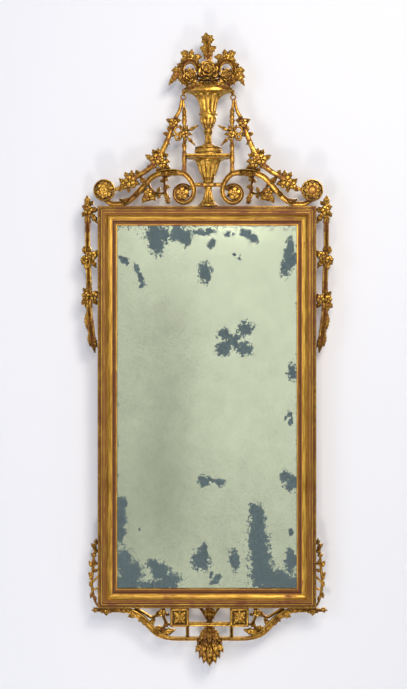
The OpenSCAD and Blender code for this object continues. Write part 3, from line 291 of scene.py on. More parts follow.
def plate_glass():
    """Blown and ground sheet glass, faintly green, with a slow wave in its surface."""
    material, t, place = new_material("ground_plate_glass")
    wave = add(t, "TexNoise", {"Vector": place, "Scale": grain(130), "Detail": 1.0, "Roughness": 0.4})
    bump = add(t, "Bump", {"Height": wave, "Distance": 0.25 * MM, "Strength": 0.25})
    shader = add(t, "BsdfPrincipled", {"Base Color": linear("#F6F8F2"), "Roughness": 0.0,
                                       "Transmission Weight": 1.0, "IOR": 1.5, "Normal": bump})
    add(t, "OutputMaterial", {0: shader})
    return material


def tin_amalgam():
    """Tin and mercury foil behind the glass: a dull silver mirror that greys in clouds, which are partly
    clouded foil and partly painted reflection, and turns to slate blue crystals where the foil has
    corroded."""
    material, t, place = new_material("tin_amalgam_mirror")
    s = settings()
    lost = add(t, "Attribute", out="Fac", attribute_name="loss")
    cloud_and_reflection = add(t, "Attribute", out="Fac", attribute_name="cloud_and_reflection")
    crystal = add(t, "TexNoise", {"Vector": place, "Scale": grain(12), "Detail": 6.0, "Roughness": 0.8})
    speck = add(t, "TexVoronoi", {"Vector": place, "Scale": grain(6.5)}, out="Distance")
    haze = add(t, "TexNoise", {"Vector": place, "Scale": grain(45), "Detail": 6.0, "Roughness": 0.65})
    # Lost where the attribute is high, with a crystalline edge and specks scattered near it
    edge = add(t, "Math", {0: crystal, 1: 1.9, 2: lost}, operation="MULTIPLY_ADD")
    gone = add(t, "MapRange", {0: edge, 1: 1.42, 2: 1.46}, interpolation_type=SMOOTH)
    near = add(t, "MapRange", {0: edge, 1: 1.16, 2: 1.5}, interpolation_type=SMOOTH)
    spread = add(t, "Math", {0: near, 1: -0.72, 2: speck}, operation="MULTIPLY_ADD")
    halo = add(t, "MapRange", {0: spread, 1: 0.04, 2: -0.06}, interpolation_type=SMOOTH)
    # Clear to clouded silver, the greying partly clouded foil and partly painted reflection, with dull dots
    # in the clouds
    fog_and_reflection = add(t, "Math", {0: haze, 1: 0.3, 2: cloud_and_reflection}, operation="MULTIPLY_ADD")
    dull = add(t, "MapRange", {0: fog_and_reflection, 1: 0.15, 2: 1.15})
    silver = add(t, "Mix", {0: dull, 6: colour(s.tin_clear), 7: colour(s.tin_cloud_and_reflection)}, out=2,
                 data_type="RGBA")
    dots = add(t, "MapRange", {0: speck, 1: 0.4, 2: 0.25, 3: 0.0, 4: 0.5}, interpolation_type=SMOOTH)
    dots = add(t, "Math", {0: dots, 1: dull}, operation="MULTIPLY")
    silver = add(t, "Mix", {0: dots, 6: silver, 7: linear("#98A08C")}, out=2, data_type="RGBA")
    mottle = add(t, "MapRange", {0: crystal, 1: 0.36, 2: 0.66}, interpolation_type=SMOOTH)
    slate = add(t, "Mix", {0: mottle, 6: colour(s.tin_lost), 7: colour(s.tin_crystal)}, out=2,
                data_type="RGBA")
    bare = add(t, "Math", {0: gone, 1: halo}, operation="MAXIMUM", use_clamp=True)
    tone = add(t, "Mix", {0: bare, 6: silver, 7: slate}, out=2, data_type="RGBA")
    metal = add(t, "MapRange", {0: gone, 3: 0.96, 4: 0.55})
    rough = add(t, "MapRange", {0: fog_and_reflection, 1: 0.1, 2: 1.1, 3: 0.1, 4: 0.22})
    bump = add(t, "Bump", {"Height": crystal, "Distance": 0.1 * MM, "Strength": 0.1})
    shader = add(t, "BsdfPrincipled", {"Base Color": tone, "Metallic": metal, "Roughness": rough,
                                       "Normal": bump})
    add(t, "OutputMaterial", {0: shader})
    return material


MADE = {}


def finish_of(make):
    """The material that make gives, made once."""
    if make not in MADE:
        MADE[make] = make()
    return MADE[make]


# ---------- carving tools ----------
# Carving is drawn in x and z, proud of its flat back at y = 0, and angles run from x towards z.


def hair(bm):
    """A hair's breadth that differs from solid to solid and from piece to piece, so that no two flat
    backs share a plane."""
    return 0.005 * ((len(bm.verts) + 7 * len(bpy.data.meshes)) % 97)


def verts_of(geom):
    """The vertices among what an operator gives back."""
    return [part for part in geom if isinstance(part, bmesh.types.BMVert)]


def edges_of(geom):
    """The edges among what an operator gives back."""
    return [part for part in geom if isinstance(part, bmesh.types.BMEdge)]


def carved(bm, along, across, shape, back=0.0):
    """A closed solid on a flat back. Its front follows shape(u, v), u from 0 to 1 and v from -1 to 1."""
    back += hair(bm)
    grid = bmesh.ops.create_grid(bm, x_segments=along, y_segments=across, size=0.5)["verts"]
    faces = list({face for vert in grid for face in vert.link_faces})
    for vert in grid:
        x, z, proud = shape(vert.co.x + 0.5, 2 * vert.co.y)
        vert.co = (x, -proud, z)
    for vert in verts_of(bmesh.ops.extrude_face_region(bm, geom=faces)["geom"]):
        vert.co.y = -back


def leaf(bm, x, z, angle, length, width, height, lobes=3, back=0.0, bend=0.0, tip=0.4, root=0.55):
    """A carved leaf with a broad root, a sunk midrib, raised veins and a lobed edge."""
    cos, sin = math.cos(math.radians(angle)), math.sin(math.radians(angle))

    def shape(u, v):
        saw = (u * lobes + 0.5) % 1
        swell = root + (1 - root) * math.sin(math.pi / 2 * min(1, u / 0.4))
        swell *= max(0.0, 1 - (max(0.0, u - 0.4) / 0.6) ** 1.6) ** 0.85
        half = 0.5 * width * swell * (1.06 - 0.36 * saw * abs(v))
        a = length * (u + 0.1 * abs(v) * swell * (1 - u))
        b = half * v + bend * length * u * u
        crown = 1 - (1 - tip) * (max(0.0, u - 0.35) / 0.65) ** 1.6
        if u < 0.35:
            crown = 0.62 + 0.38 * math.sin(math.pi / 2 * min(1, u / 0.35))
        midrib = 0.26 * math.exp(-((v / 0.2) ** 2)) * (1 - 0.6 * u)
        wave = 0.1 * math.cos(2 * math.pi * (u * lobes - 0.5 * abs(v)))
        veins = wave * min(1, 3 * abs(v)) * (1.2 - abs(v))
        proud = crown * (1 - 0.5 * v * v) - midrib + veins
        return x + a * cos - b * sin, z + a * sin + b * cos, back + height * max(0.12, proud)

    carved(bm, 4 * lobes + 2, 8, shape, back)


def leaves(bm, rows, height, lobes=3, tip=0.4):
    """Leaves from rows of x, z, angle, length and width."""
    for i, (x, z, angle, length, width) in enumerate(rows):
        leaf(bm, x, z, angle, 0.94 * length, 1.22 * width, height - 0.6 * (i % 3), lobes, tip=tip)


def bud(bm, x, z, angle, length, width, height):
    """A closed bud: a plump middle between two sepals. Its middle is at x, z."""
    cos, sin = math.cos(math.radians(angle)), math.sin(math.radians(angle))
    x, z = x - 0.5 * length * cos, z - 0.5 * length * sin
    for turn, size, wide, high in ((24, 0.8, 0.5, 0.8), (-24, 0.8, 0.5, 0.8), (0, 1, 0.72, 1)):
        leaf(bm, x, z, angle + turn, size * length, wide * width, high * height, 2, tip=0.55, root=0.6)


def dome(bm, x, z, r, proud, back=0.0):
    """A button or bead, half sunk at the height back."""
    place = Matrix.Translation((x, -back, z)) @ Matrix.Diagonal((r, proud, r, 1))
    lowest = max(0.02 + hair(bm), 0.4 * back)
    for vert in bmesh.ops.create_uvsphere(bm, u_segments=14, v_segments=8, radius=1, matrix=place)["verts"]:
        vert.co.y = min(vert.co.y, -lowest)


def flower(bm, x, z, r, height, petals=5, turn=0.0, back=0.0):
    """An open flower of scooped, notched petals round a button."""
    for i in range(petals):
        middle = math.radians(turn) + 2 * math.pi * i / petals
        low = 0.9 if i % 2 else 1.0

        def shape(u, v):
            spread = math.sin(math.pi * (0.1 + 0.56 * u)) ** 0.8
            a = middle + v * math.pi / petals * 1.1 * spread
            notch = 0.08 * math.exp(-((v / 0.3) ** 2)) * u
            reach = r * (0.12 + 0.88 * u * (1 - 0.12 * abs(v) ** 3 - notch))
            scoop = 0.2 * (1 - v * v) * math.sin(math.pi * u)
            proud = 0.62 + 0.34 * math.sin(math.pi * (0.15 + 0.62 * u)) - scoop
            proud -= 0.3 * abs(v) ** 3 + 0.25 * u ** 4
            return x + reach * math.cos(a), z + reach * math.sin(a), back + height * low * max(0.15, proud)

        carved(bm, 7, 6, shape, back)
    dome(bm, x, z, 0.25 * r, 0.34 * height, back + 0.62 * height)


# The rows of a rose's petals: their start, length and width, and their lowest and highest, as shares
ROSE_ROWS = ((0.3, 0.7, 0.95, 0.26, 0.58), (0.16, 0.52, 0.74, 0.5, 0.8), (0.05, 0.38, 0.5, 0.7, 1.0))


def rose(bm, x, z, r, height, petals=5, turn=0.0):
    """A full rose: rows of cupped petals with rolled lips, higher towards a closed heart of four."""
    for row, (start, length, width, low, high) in enumerate(ROSE_ROWS):
        count = petals if row < 2 else 4
        for i in range(count):
            angle = math.radians(turn + 360 / count * (i + 0.5 * row) + (8 if i % 2 else -6))
            cos, sin = math.cos(angle), math.sin(angle)
            reach = length * (1.0 if i % 2 else 0.88)

            def shape(u, v):
                half = 0.5 * width * r * (0.5 + 0.5 * math.sin(math.pi / 2 * min(1, u / 0.55)))
                half *= 1 - 0.6 * (max(0.0, u - 0.55) / 0.45) ** 2
                a = r * (start + reach * u * (1 - 0.2 * v * v + 0.05 * math.cos(3 * math.pi * v)))
                b = half * v
                proud = low + (high - low) * math.sin(math.pi * (0.1 + 0.6 * u))
                cup = 0.16 * (1 - v * v) * math.sin(math.pi * u)
                proud -= cup + 0.16 * v ** 4 + 0.2 * max(0.0, u - 0.8)
                return x + a * cos - b * sin, z + a * sin + b * cos, height * max(0.1, proud)

            carved(bm, 8, 8, shape)
    dome(bm, x, z, 0.15 * r, 0.3 * height, 0.66 * height)


def spline(points, steps):
    """A smooth path through points, with so many steps between them."""
    path = []
    last = len(points) - 1
    for i in range(last):
        four = (points[max(i - 1, 0)], points[i], points[i + 1], points[min(i + 2, last)])
        for k in range(steps):
            t = k / steps
            path.append([0.5 * (2 * q + (r - p) * t + (2 * p - 5 * q + 4 * r - s) * t * t
                                + (3 * q - p - 3 * r + s) * t ** 3) for p, q, r, s in zip(*four)])
    return path + [list(points[-1])]


# Sections across a stem or a scroll, as shares of its width and its depth
ROUND = [(0.5 * math.cos(a), 0.5 + 0.5 * math.sin(a))
         for a in (math.pi * (1.25 - 1.5 * k / 9) for k in range(10))]
BAND = [(-0.5, 0), (-0.5, 0.78), (-0.46, 0.92), (-0.38, 0.97), (-0.3, 0.92), (-0.24, 0.72), (-0.14, 0.62),
        (0.04, 0.58), (0.2, 0.62), (0.27, 0.74), (0.34, 0.84), (0.41, 0.86), (0.47, 0.78), (0.5, 0.66),
        (0.5, 0)]
VEINED = [(-0.5, 0), (-0.5, 0.35), (-0.38, 0.72), (-0.24, 0.78), (-0.14, 0.66), (0, 1.0), (0.14, 0.66),
          (0.24, 0.78), (0.38, 0.72), (0.5, 0.35), (0.5, 0)]


def sweep(bm, path, section=ROUND):
    """Draws a section along stations of [x, z, width, depth]."""
    face, lowest = None, hair(bm)
    for i, (x, z, width, depth) in enumerate(path):
        a, b = path[max(i - 1, 0)], path[min(i + 1, len(path) - 1)]
        dx, dz = b[0] - a[0], b[1] - a[1]
        size = math.hypot(dx, dz)
        ring = [(x - q * width * dz / size, -max(lowest, p * depth), z + q * width * dx / size)
                for q, p in section]
        if face is None:
            face = bm.faces.new([bm.verts.new(co) for co in ring])
            continue
        made = bmesh.ops.extrude_face_region(bm, geom=[face])["geom"]
        face = next(part for part in made if isinstance(part, bmesh.types.BMFace))
        for vert, co in zip(face.verts, ring):
            vert.co = co


def stem(bm, points, section=ROUND, steps=5):
    """Sweeps a section along a smooth path through points of [x, z, width, depth]."""
    sweep(bm, spline(points, steps), section)


DOUBLE = 0.005  # points of one turning that lie closer than this are merged


def turned(bm, profile, shape, steps=48):
    """Turns an [r, z] profile half round, from +x by the front to -x, and closes its back.
    shape(r, a, z) gives each point's new x, y and z."""
    before, lowest = set(bm.verts), hair(bm)
    chain = [bm.verts.new((r, 0, z)) for r, z in profile]
    edges = [bm.edges.new(pair) for pair in zip(chain, chain[1:])]
    bmesh.ops.spin(bm, geom=chain + edges, axis=(0, 0, 1), cent=(0, 0, 0), angle=-math.pi, steps=steps)
    made = [vert for vert in bm.verts if vert not in before]
    for vert in made:
        r, a = math.hypot(vert.co.x, vert.co.y), math.atan2(-vert.co.y, vert.co.x)
        vert.co = shape(r, min(max(a, 0), math.pi), vert.co.z)
        vert.co.y = min(vert.co.y, -lowest)
    bmesh.ops.remove_doubles(bm, verts=made, dist=DOUBLE)
    rim = [edge for edge in bm.edges if len(edge.link_faces) == 1 and edge.verts[0] not in before]
    bmesh.ops.edgeloop_fill(bm, edges=rim)


def relief(r):
    """Depth of the half-round relief where its half width is r."""
    return min(40.6, r if r < 20 else 20 + (r - 20) * 0.33)


def fluted(lobes, cut, weight, depth=relief, power=0.7):
    """A shape for turned: rounded lobes with sharp furrows, as deep as weight(z) says."""

    def shape(r, a, z):
        keep = 1 - cut * weight(z) * (1 - abs(math.sin(lobes * a)) ** power)
        return r * keep * math.cos(a), -depth(r) * keep * math.sin(a), z

    return shape


def full_depth(r):
    """Depth of a turning that stands out as far as it is wide."""
    return r


def between(stations):
    """A function that reads a value between [z, value] stations."""

    def value(z):
        for (z0, v0), (z1, v1) in zip(stations, stations[1:]):
            if z <= z1:
                return v0 + (v1 - v0) * max(0.0, z - z0) / (z1 - z0)
        return stations[-1][1]

    return value


def dish(bm, x, z, profile, steps=64):
    """Turns an [r, proud] profile about the line towards the viewer."""
    before = set(bm.verts)
    chain = [bm.verts.new((x + r, -proud, z)) for r, proud in profile]
    edges = [bm.edges.new(pair) for pair in zip(chain, chain[1:])]
    bmesh.ops.spin(bm, geom=chain + edges, axis=(0, 1, 0), cent=(x, 0, z), angle=2 * math.pi,
                   steps=steps, use_merge=True)
    bmesh.ops.remove_doubles(bm, verts=[vert for vert in bm.verts if vert not in before], dist=DOUBLE)


def block(bm, x0, x1, z0, z1, proud, bevel=1.5):
    """A box with its edges eased, but for those that lie on its back."""
    back = hair(bm)
    middle = Matrix.Translation(((x0 + x1) / 2, -(proud + back) / 2, (z0 + z1) / 2))
    place = middle @ Matrix.Diagonal((x1 - x0, proud - back, z1 - z0, 1))
    made = bmesh.ops.create_cube(bm, size=1, matrix=place)["verts"]
    front = [vert for vert in made if vert.co.y < -back - 0.01]
    edges = list({edge for vert in front for edge in vert.link_edges})
    bmesh.ops.bevel(bm, geom=edges, offset=bevel, segments=3, profile=0.5, affect="EDGES", material=-1)


def bar(bm, x0, x1, profile):
    """A straight run along x of a [proud, z] profile."""
    lowest = hair(bm)
    face = bm.faces.new([bm.verts.new((x0, -max(lowest, proud), z)) for proud, z in profile])
    made = bmesh.ops.extrude_face_region(bm, geom=[face])["geom"]
    bmesh.ops.translate(bm, vec=(x1 - x0, 0, 0), verts=verts_of(made))


def new_piece(name, bm, finish, nodes, sharp=38.0):
    """Makes the piece, rides it on the body and lets it stand for its CAD nodes."""
    bmesh.ops.recalc_face_normals(bm, faces=bm.faces)
    mesh = bpy.data.meshes.new(name)
    bm.to_mesh(mesh)
    bm.free()
    mesh.polygons.foreach_set("use_smooth", [True] * len(mesh.polygons))
    mesh.set_sharp_from_angle(angle=math.radians(sharp))
    piece = bpy.data.objects.new(name, mesh)
    bpy.context.scene.collection.objects.link(piece)
    mesh.materials.append(finish_of(finish))
    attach(piece, "root")
    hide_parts(*nodes)


@contextmanager
def carving(node, place, finish=gilt, slot="gilding"):
    """Opens a bmesh to draw a carving in, and then makes it the piece that stands for the node."""
    bm = bmesh.new()
    yield bm
    bm.transform(place)
    new_piece(f"{node}_carving", bm, finish, [node])


@contextmanager
def part_of(bm, place):
    """Opens a bmesh to draw one part of a carving in, and then adds it to bm in its place."""
    part = bmesh.new()
    yield part
    part.transform(place)
    mesh = bpy.data.meshes.new("part")
    part.to_mesh(mesh)
    part.free()
    bm.from_mesh(mesh)
    bpy.data.meshes.remove(mesh)


def on_both_sides(draw, place, name, finish=gilt, slot="gilding"):
    """Draws a carving once for each side, as a piece of its own."""
    for side, word in SIDES:
        with carving(f"{name}_{word}", place(side), finish, slot) as bm:
            draw(bm, side)


# ---------- the moulded frame ----------


def frame_sides():
    """The four sides as a name, a length and a matrix from the side's own millimetres, where x runs
    along the side and z is 0 at its outer edge and falls towards the glass."""
    for word, length, turn, at in (
        ("top", 2 * HALF_W, 0, (0, 0, TOP)),
        ("right", 2 * HALF_H, 90, (HALF_W, 0, MIDDLE)),
        ("bottom", 2 * HALF_W, 180, (0, 0, BOTTOM)),
        ("left", 2 * HALF_H, 270, (-HALF_W, 0, MIDDLE)),
    ):
        place = TO_METRES @ Matrix.Translation(at) @ Matrix.Rotation(math.radians(turn), 4, "Y")
        yield word, length, place


FILLET = 1.5  # height of the fillet under a row of pearls
PEARL_LENGTH = 0.74  # a pearl's length along its row, as a share of the spacing
PEARL_SUNK = 0.4  # how far a pearl reaches into its fillet

# Rows of pearls: name, inset from the outer edge, depth, fillet width, pearl radius, finish and slot
PEARL_ROWS = (("outer", 0.3, 24, 8.4, 3.2, gilt, "gilding"),
              ("sight", 47.5, 18, 9.5, 2.8, worn_gilt, "worn_gilding"))


def pearl_row(bm, length, inset, depth, width, pitch, r):
    """A fillet with mitred ends and a row of pearls on it, the last ones meeting at the corners."""
    low, high = -inset - width, -inset
    ends = ((-length / 2 - high, high), (length / 2 + high, high), (length / 2 + low, low),
            (-length / 2 - low, low))
    face = bm.faces.new([bm.verts.new((x, -depth, z)) for x, z in ends])
    made = bmesh.ops.extrude_face_region(bm, geom=[face])["geom"]
    bmesh.ops.translate(bm, vec=(0, -FILLET, 0), verts=verts_of(made))

    # One pearl, cut flat just below the fillet's face, and then its copies
    place = Matrix.Translation((0, -depth - FILLET, (low + high) / 2))
    place = place @ Matrix.Diagonal((PEARL_LENGTH * pitch / 2, r, r, 1))
    place = place @ Matrix.Rotation(math.pi / 2, 4, "X")
    bead = bmesh.ops.create_uvsphere(bm, u_segments=8, v_segments=6, radius=1, matrix=place)["verts"]
    geom = list({part for vert in bead for part in (vert, *vert.link_edges, *vert.link_faces)})
    cut = bmesh.ops.bisect_plane(bm, geom=geom, plane_co=(0, PEARL_SUNK - depth - FILLET, 0),
                                 plane_no=(0, 1, 0), clear_outer=True)
    closed = bmesh.ops.edgeloop_fill(bm, edges=edges_of(cut["geom_cut"]))["faces"]
    bead = list({part for part in cut["geom"] if part.is_valid} | {*closed})
    run = length - 2 * inset - width
    count = round(run / pitch)
    for i in range(1, count):
        copy = bmesh.ops.duplicate(bm, geom=bead)["geom"]
        bmesh.ops.translate(bm, vec=(i * run / count - run / 2, 0, 0), verts=verts_of(copy))
    bmesh.ops.translate(bm, vec=(-run / 2, 0, 0), verts=verts_of(bead))


def dress(node, finish):
    """Gives a CAD node that stays its material."""
    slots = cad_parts[node].material_slots
    if not slots:
        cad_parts[node].data.materials.append(finish_of(finish))
    for slot in slots:
        slot.material = finish_of(finish)


class PIER_OT_moulding(bpy.types.Operator):
    """Gild the four mitred lengths of moulding"""
    bl_idname = "pier.moulding"
    bl_label = "Moulding"

    def execute(self, context):
        for node in ("top_rail", "bottom_rail", "left_stile", "right_stile"):
            dress(node, moulding_gilt)
        return {"FINISHED"}


class PIER_OT_pearls(bpy.types.Operator):
    """String the rows of carved pearls at the outer and the sight edge"""
    bl_idname = "pier.pearls"
    bl_label = "Pearls"

    def execute(self, context):
        for word, length, place in frame_sides():
            for row, inset, depth, width, r, finish, slot in PEARL_ROWS:
                pitch = getattr(settings(), row + "_pitch") / MM
                bm = bmesh.new()
                pearl_row(bm, length, inset, depth, width, pitch, r)
                bm.transform(place)
                name = f"{row}_pearls_{word}"
                new_piece(name + "_beads", bm, finish, [name], sharp=50)
        return {"FINISHED"}


# ---------- the plate and the back ----------

# Losses in the foil as ellipses: x and z of the middle, half width and half height, turn in degrees
LOSSES = [(-156, -88, 36, 24, 0), (-160, -118, 18, 34, 8), (-134, -98, 14, 18, 0), (-86, -84, 26, 20, 0),
          (-66, -98, 18, 24, 0), (-102, -94, 12, 12, 0), (-24, -82, 22, 8, 0), (6, -80, 20, 9, 8),
          (13, -118, 12, 12, 0), (66, -90, 16, 7, 0), (122, -82, 16, 13, 0), (142, -100, 13, 18, 20),
          (86, -154, 5, 7, 0), (99, -162, 6, 5, 0), (105, -150, 4, 4, 0), (-9, -206, 19, 28, 0),
          (-2, -222, 12, 20, 0), (264, -128, 12, 28, 0), (262, -164, 18, 34, 0), (248, -192, 16, 26, -12),
          (-266, -170, 14, 9, -20), (-252, -180, 9, 8, 0), (-222, -198, 7, 16, 20),
          (-212, -224, 10, 20, 20), (-204, -250, 9, 9, 0), (58, -404, 20, 18, -30), (122, -388, 21, 22, 0),
          (52, -450, 22, 20, 0), (118, -450, 22, 20, 0), (84, -424, 30, 10, 28), (88, -424, 12, 22, 0),
          (268, -523, 16, 24, 0), (-12, -868, 15, 16, 0), (38, -872, 16, 13, 0), (12, -864, 16, 6, 0),
          (248, -852, 18, 16, 0), (266, -874, 20, 24, 0), (-272, -938, 18, 18, 0), (-274, -1000, 18, 62, 0),
          (-266, -1120, 30, 34, 0), (-240, -1158, 30, 40, 0), (-258, -1190, 54, 22, 0),
          (-168, -1130, 18, 16, 0), (-148, -1156, 26, 26, 30), (-120, -1184, 34, 22, 30),
          (-176, -1194, 70, 12, 0), (-19, -1116, 27, 30, 0), (-12, -1086, 12, 20, 0), (14, -1160, 7, 8, 0),
          (34, -1170, 8, 10, 0), (24, -1190, 14, 7, 0), (85, -1118, 14, 32, 0), (156, -966, 22, 26, 0),
          (158, -1020, 27, 60, 0), (166, -1090, 30, 64, 0), (176, -1160, 36, 50, 0),
          (210, -1180, 60, 28, 10), (256, -1190, 40, 20, 0), (264, -1118, 16, 32, 0),
          (262, -1030, 8, 10, 0), (262, -654, 6, 12, 0), (268, -684, 7, 12, 0), (250, -668, 4, 5, 0),
          (-214, -1024, 5, 7, 0)]


def loss_at(x, z):
    """How far the foil has gone at a point: half at the edge of a loss, 1 in its middle."""
    wobble = noise.noise_vector(Vector((x, 7.0, z)) / 24) * 9
    wobble += noise.noise_vector(Vector((x, 3.0, z)) / 8) * 5
    x, z = x + wobble.x, z + wobble.z
    best = 0.0
    for cx, cz, rx, rz, turn in LOSSES:
        dx, dz = x - cx, z - cz
        if abs(dx) > 2.2 * max(rx, rz) or abs(dz) > 2.2 * max(rx, rz):
            continue
        cos, sin = math.cos(math.radians(turn)), math.sin(math.radians(turn))
        reach = math.hypot((dx * cos + dz * sin) / rx, (dz * cos - dx * sin) / rz)
        best = max(best, 1 - 0.5 * reach)
    # The foil has begun to go along the top and the sides too
    along_top = 0.35 + (z + 63) / 170
    along_sides = 0.22 - (280 - abs(x)) / 70
    return max(best, along_top, along_sides)


def rise(value, start, length):
    """From 0 at start to 1 a length further on."""
    return min(1.0, max(0.0, (value - start) / length))


def cloud_and_reflection_at(x, z):
    """How grey the foil is drawn, partly clouding and partly painted reflection: a grey column left of the
    middle, and duller towards the foot and the left.
    """
    column = math.exp(-(((x + 140) / 105) ** 2)) * rise(-z, 90, 260) * rise(z, -1200, 300)
    left = max(0.0, (-x - 180) / 100)
    mist = noise.fractal(Vector((x, 11.0, z)) / 110, 0.8, 2.1, 4)
    return 0.34 * rise(-z, 90, 900) + 0.2 * rise(-z, 750, 350) + 0.3 * left + 0.55 * column + 0.07 * mist


FOIL_GAP = 0.02  # the foil is this much thinner on each side than its solid, to clear the glass


class PIER_OT_plate(bpy.types.Operator):
    """Lay the foil behind the plate, with its clouds, its painted reflection and its losses, and polish the
    glass
    """
    bl_idname = "pier.plate"
    bl_label = "Plate"

    def execute(self, context):
        dress("mirror_glass", plate_glass)
        low, high = (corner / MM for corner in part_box("tin_amalgam"))
        step = settings().foil_step / MM
        across, along = round((high.x - low.x) / step), round((high.z - low.z) / step)
        bm = bmesh.new()
        lost = bm.verts.layers.float.new("loss")
        cloud_and_reflection = bm.verts.layers.float.new("cloud_and_reflection")

        def shape(u, v):
            x, z = low.x + u * (high.x - low.x), low.z + (v + 1) / 2 * (high.z - low.z)
            return x, z, -low.y - FOIL_GAP

        carved(bm, across, along, shape, -high.y + FOIL_GAP)
        # Each point of the foil holds its loss, and its clouding with the painted reflection
        for vert in bm.verts:
            x, z = vert.co.x, vert.co.z - TOP
            vert[lost] = loss_at(x, z)
            vert[cloud_and_reflection] = cloud_and_reflection_at(x, z)
        bm.transform(TO_METRES)
        new_piece("tin_foil", bm, tin_amalgam, ["tin_amalgam"], sharp=60)
        return {"FINISHED"}


class PIER_OT_back(bpy.types.Operator):
    """Finish the boards, blocks, keys and nails, and the iron stay with its screws"""
    bl_idname = "pier.back"
    bl_label = "Back and hanging iron"

    def execute(self, context):
        for node in ("backboard_upper", "backboard_middle", "backboard_lower", "glazing_blocks",
                     "corner_keys"):
            dress(node, pine)
        for node in ("backboard_nails", "crest_stay", "stay_screws"):
            dress(node, forged_iron)
        return {"FINISHED"}


# ---------- the crest ----------

PATERA = (HALF_W - 16.5, 50)  # middle of an end patera
EYE = (79, 40)  # middle of a volute
EYE_R, EYE_GAIN, EYE_RATE = 27.5, 38, 48  # the volute's last radius, and how it winds in to it
RUN = [[331, 24, 12], [304, 8, 16], [268, 9, 17], [238, 26, 18], [205, 62, 18], [176, 92, 18],
       [140, 107, 17], [108, 109, 17]]


def scroll_path():
    """The scroll from the end patera over its crown and round the volute."""
    path = [[x, z, w, 20] for x, z, w in spline(RUN, 5)]
    steps = 55
    for i in range(1, steps + 1):
        a = 408 * (i / steps) ** 1.25
        r = EYE_R + EYE_GAIN * math.exp(-a / EYE_RATE)
        path.append([*off(*EYE, r, 90 + a), 17 - a / 62, 20 - a / 120])
    return path


class PIER_OT_scrolls(bpy.types.Operator):
    """Carve the two S scrolls with their volutes, rosettes and wrapped leaves"""
    bl_idname = "pier.scrolls"
    bl_label = "Scrolls"

    def execute(self, context):
        def draw(bm, side):
            path = scroll_path()
            sweep(bm, path, BAND)
            end = path[-1]
            leaf(bm, end[0] - 5, end[1] + 5, -50, 22, 13, 20, 2)
            leaves(bm, ((150, 101, 178, 46, 19), (196, 70, 50, 36, 17), (276, 10, 155, 40, 17),
                        (262, 12, 30, 26, 13), (232, 31, 122, 26, 13), (122, 108, 196, 34, 15)), 23.4, 4)

        on_both_sides(draw, on_crest, "scroll")
        x, z = EYE[0] + 4, EYE[1] + 1
        with carving("volute_rosettes", Matrix()) as bm:
            for side, _ in SIDES:
                with part_of(bm, on_crest(side)) as part:
                    for a in range(54, 360, 72):
                        leaf(part, *off(x, z, 9, a), a, 17, 16, 15, 2)
                    flower(part, x, z, 23, 19, 5, 18)
                    flower(part, x, z, 10, 7, 5, 54, 12)
        return {"FINISHED"}


DISH = [(0, 0), (34, 0), (35, 3), (35, 17), (34.4, 20.5), (33, 22.6), (31.6, 22.8), (30.6, 21.4),
        (30, 18.8), (29.4, 15), (28.6, 13.6), (0, 13.5)]


class PIER_OT_paterae(bpy.types.Operator):
    """Turn the two end paterae and carve a rosette in each"""
    bl_idname = "pier.paterae"
    bl_label = "Paterae"

    def execute(self, context):
        x, z = PATERA

        def petal_ring(bm, count, start, length, width, height, back, turn=0.0, lobes=2):
            for i in range(count):
                a = turn + 360 * i / count
                leaf(bm, *off(x, z, start, a), a, length, width, height, lobes, back, root=0.7, tip=0.6)

        def draw(bm, side):
            dish(bm, x, z, DISH)
            if side < 0:
                petal_ring(bm, 6, 11, 19, 21, 9, 12, 42)
                petal_ring(bm, 6, 4, 22, 19, 12, 12, 12)
                flower(bm, x, z, 9, 6, 5, 10, 17)
            else:
                petal_ring(bm, 10, 8, 21.5, 16, 10, 12, 0, 1)
                dish(bm, x, z, [(0, 8), (13, 8), (13.4, 19), (12.6, 20.6), (11.2, 21), (10, 20.2),
                                (9.2, 19), (7, 19.2), (3, 19.6), (0, 19.8)], 32)

        on_both_sides(draw, on_crest, "patera")
        return {"FINISHED"}


class PIER_OT_spandrels(bpy.types.Operator):
    """Carve the leafy branches between the scrolls and the rail"""
    bl_idname = "pier.spandrels"
    bl_label = "Spandrel sprigs"

    def execute(self, context):
        def draw(bm, side):
            stem(bm, [[143, 101, 10, 12], [138, 76, 10, 12], [137, 56, 10, 12], [132, 38, 10, 11],
                      [122, 24, 8, 10]], VEINED)
            stem(bm, [[189, 72, 10, 11], [179, 52, 9, 11], [163, 42, 9, 11], [147, 41, 9, 11],
                      [136, 46, 8, 10]], VEINED)
            leaves(bm, ((186, 60, 236, 26, 15), (200, 46, 252, 32, 17), (192, 38, -58, 34, 18),
                        (186, 40, 225, 32, 17), (178, 28, -20, 24, 14), (133, 46, 70, 24, 13),
                        (130, 34, 262, 28, 14), (160, 44, 110, 22, 12), (136, 66, 200, 18, 12),
                        (139, 84, -20, 17, 11), (170, 46, 262, 20, 12), (141, 92, 215, 20, 12),
                        (154, 40, 284, 18, 11), (206, 58, 300, 26, 13)), 12.6)
            flower(bm, 190, 44, 15, 16, 5, 10)
            bud(bm, 129, 16, 20, 20, 16, 14)
            flower(bm, 133, 34, 9, 14, 5, 20)

        on_both_sides(draw, on_crest, "spandrel_sprig")
        return {"FINISHED"}


# Levels of the middle column, up from the rail
BAR_Z, BELL_Z, ABACUS_Z, SOCLE_Z, URN_FOOT_Z, URN_Z, URN_TOP = 62, 75, 151, 162, 190, 237, 392
BAR_MIDDLE = (BAR_Z + BELL_Z) / 2

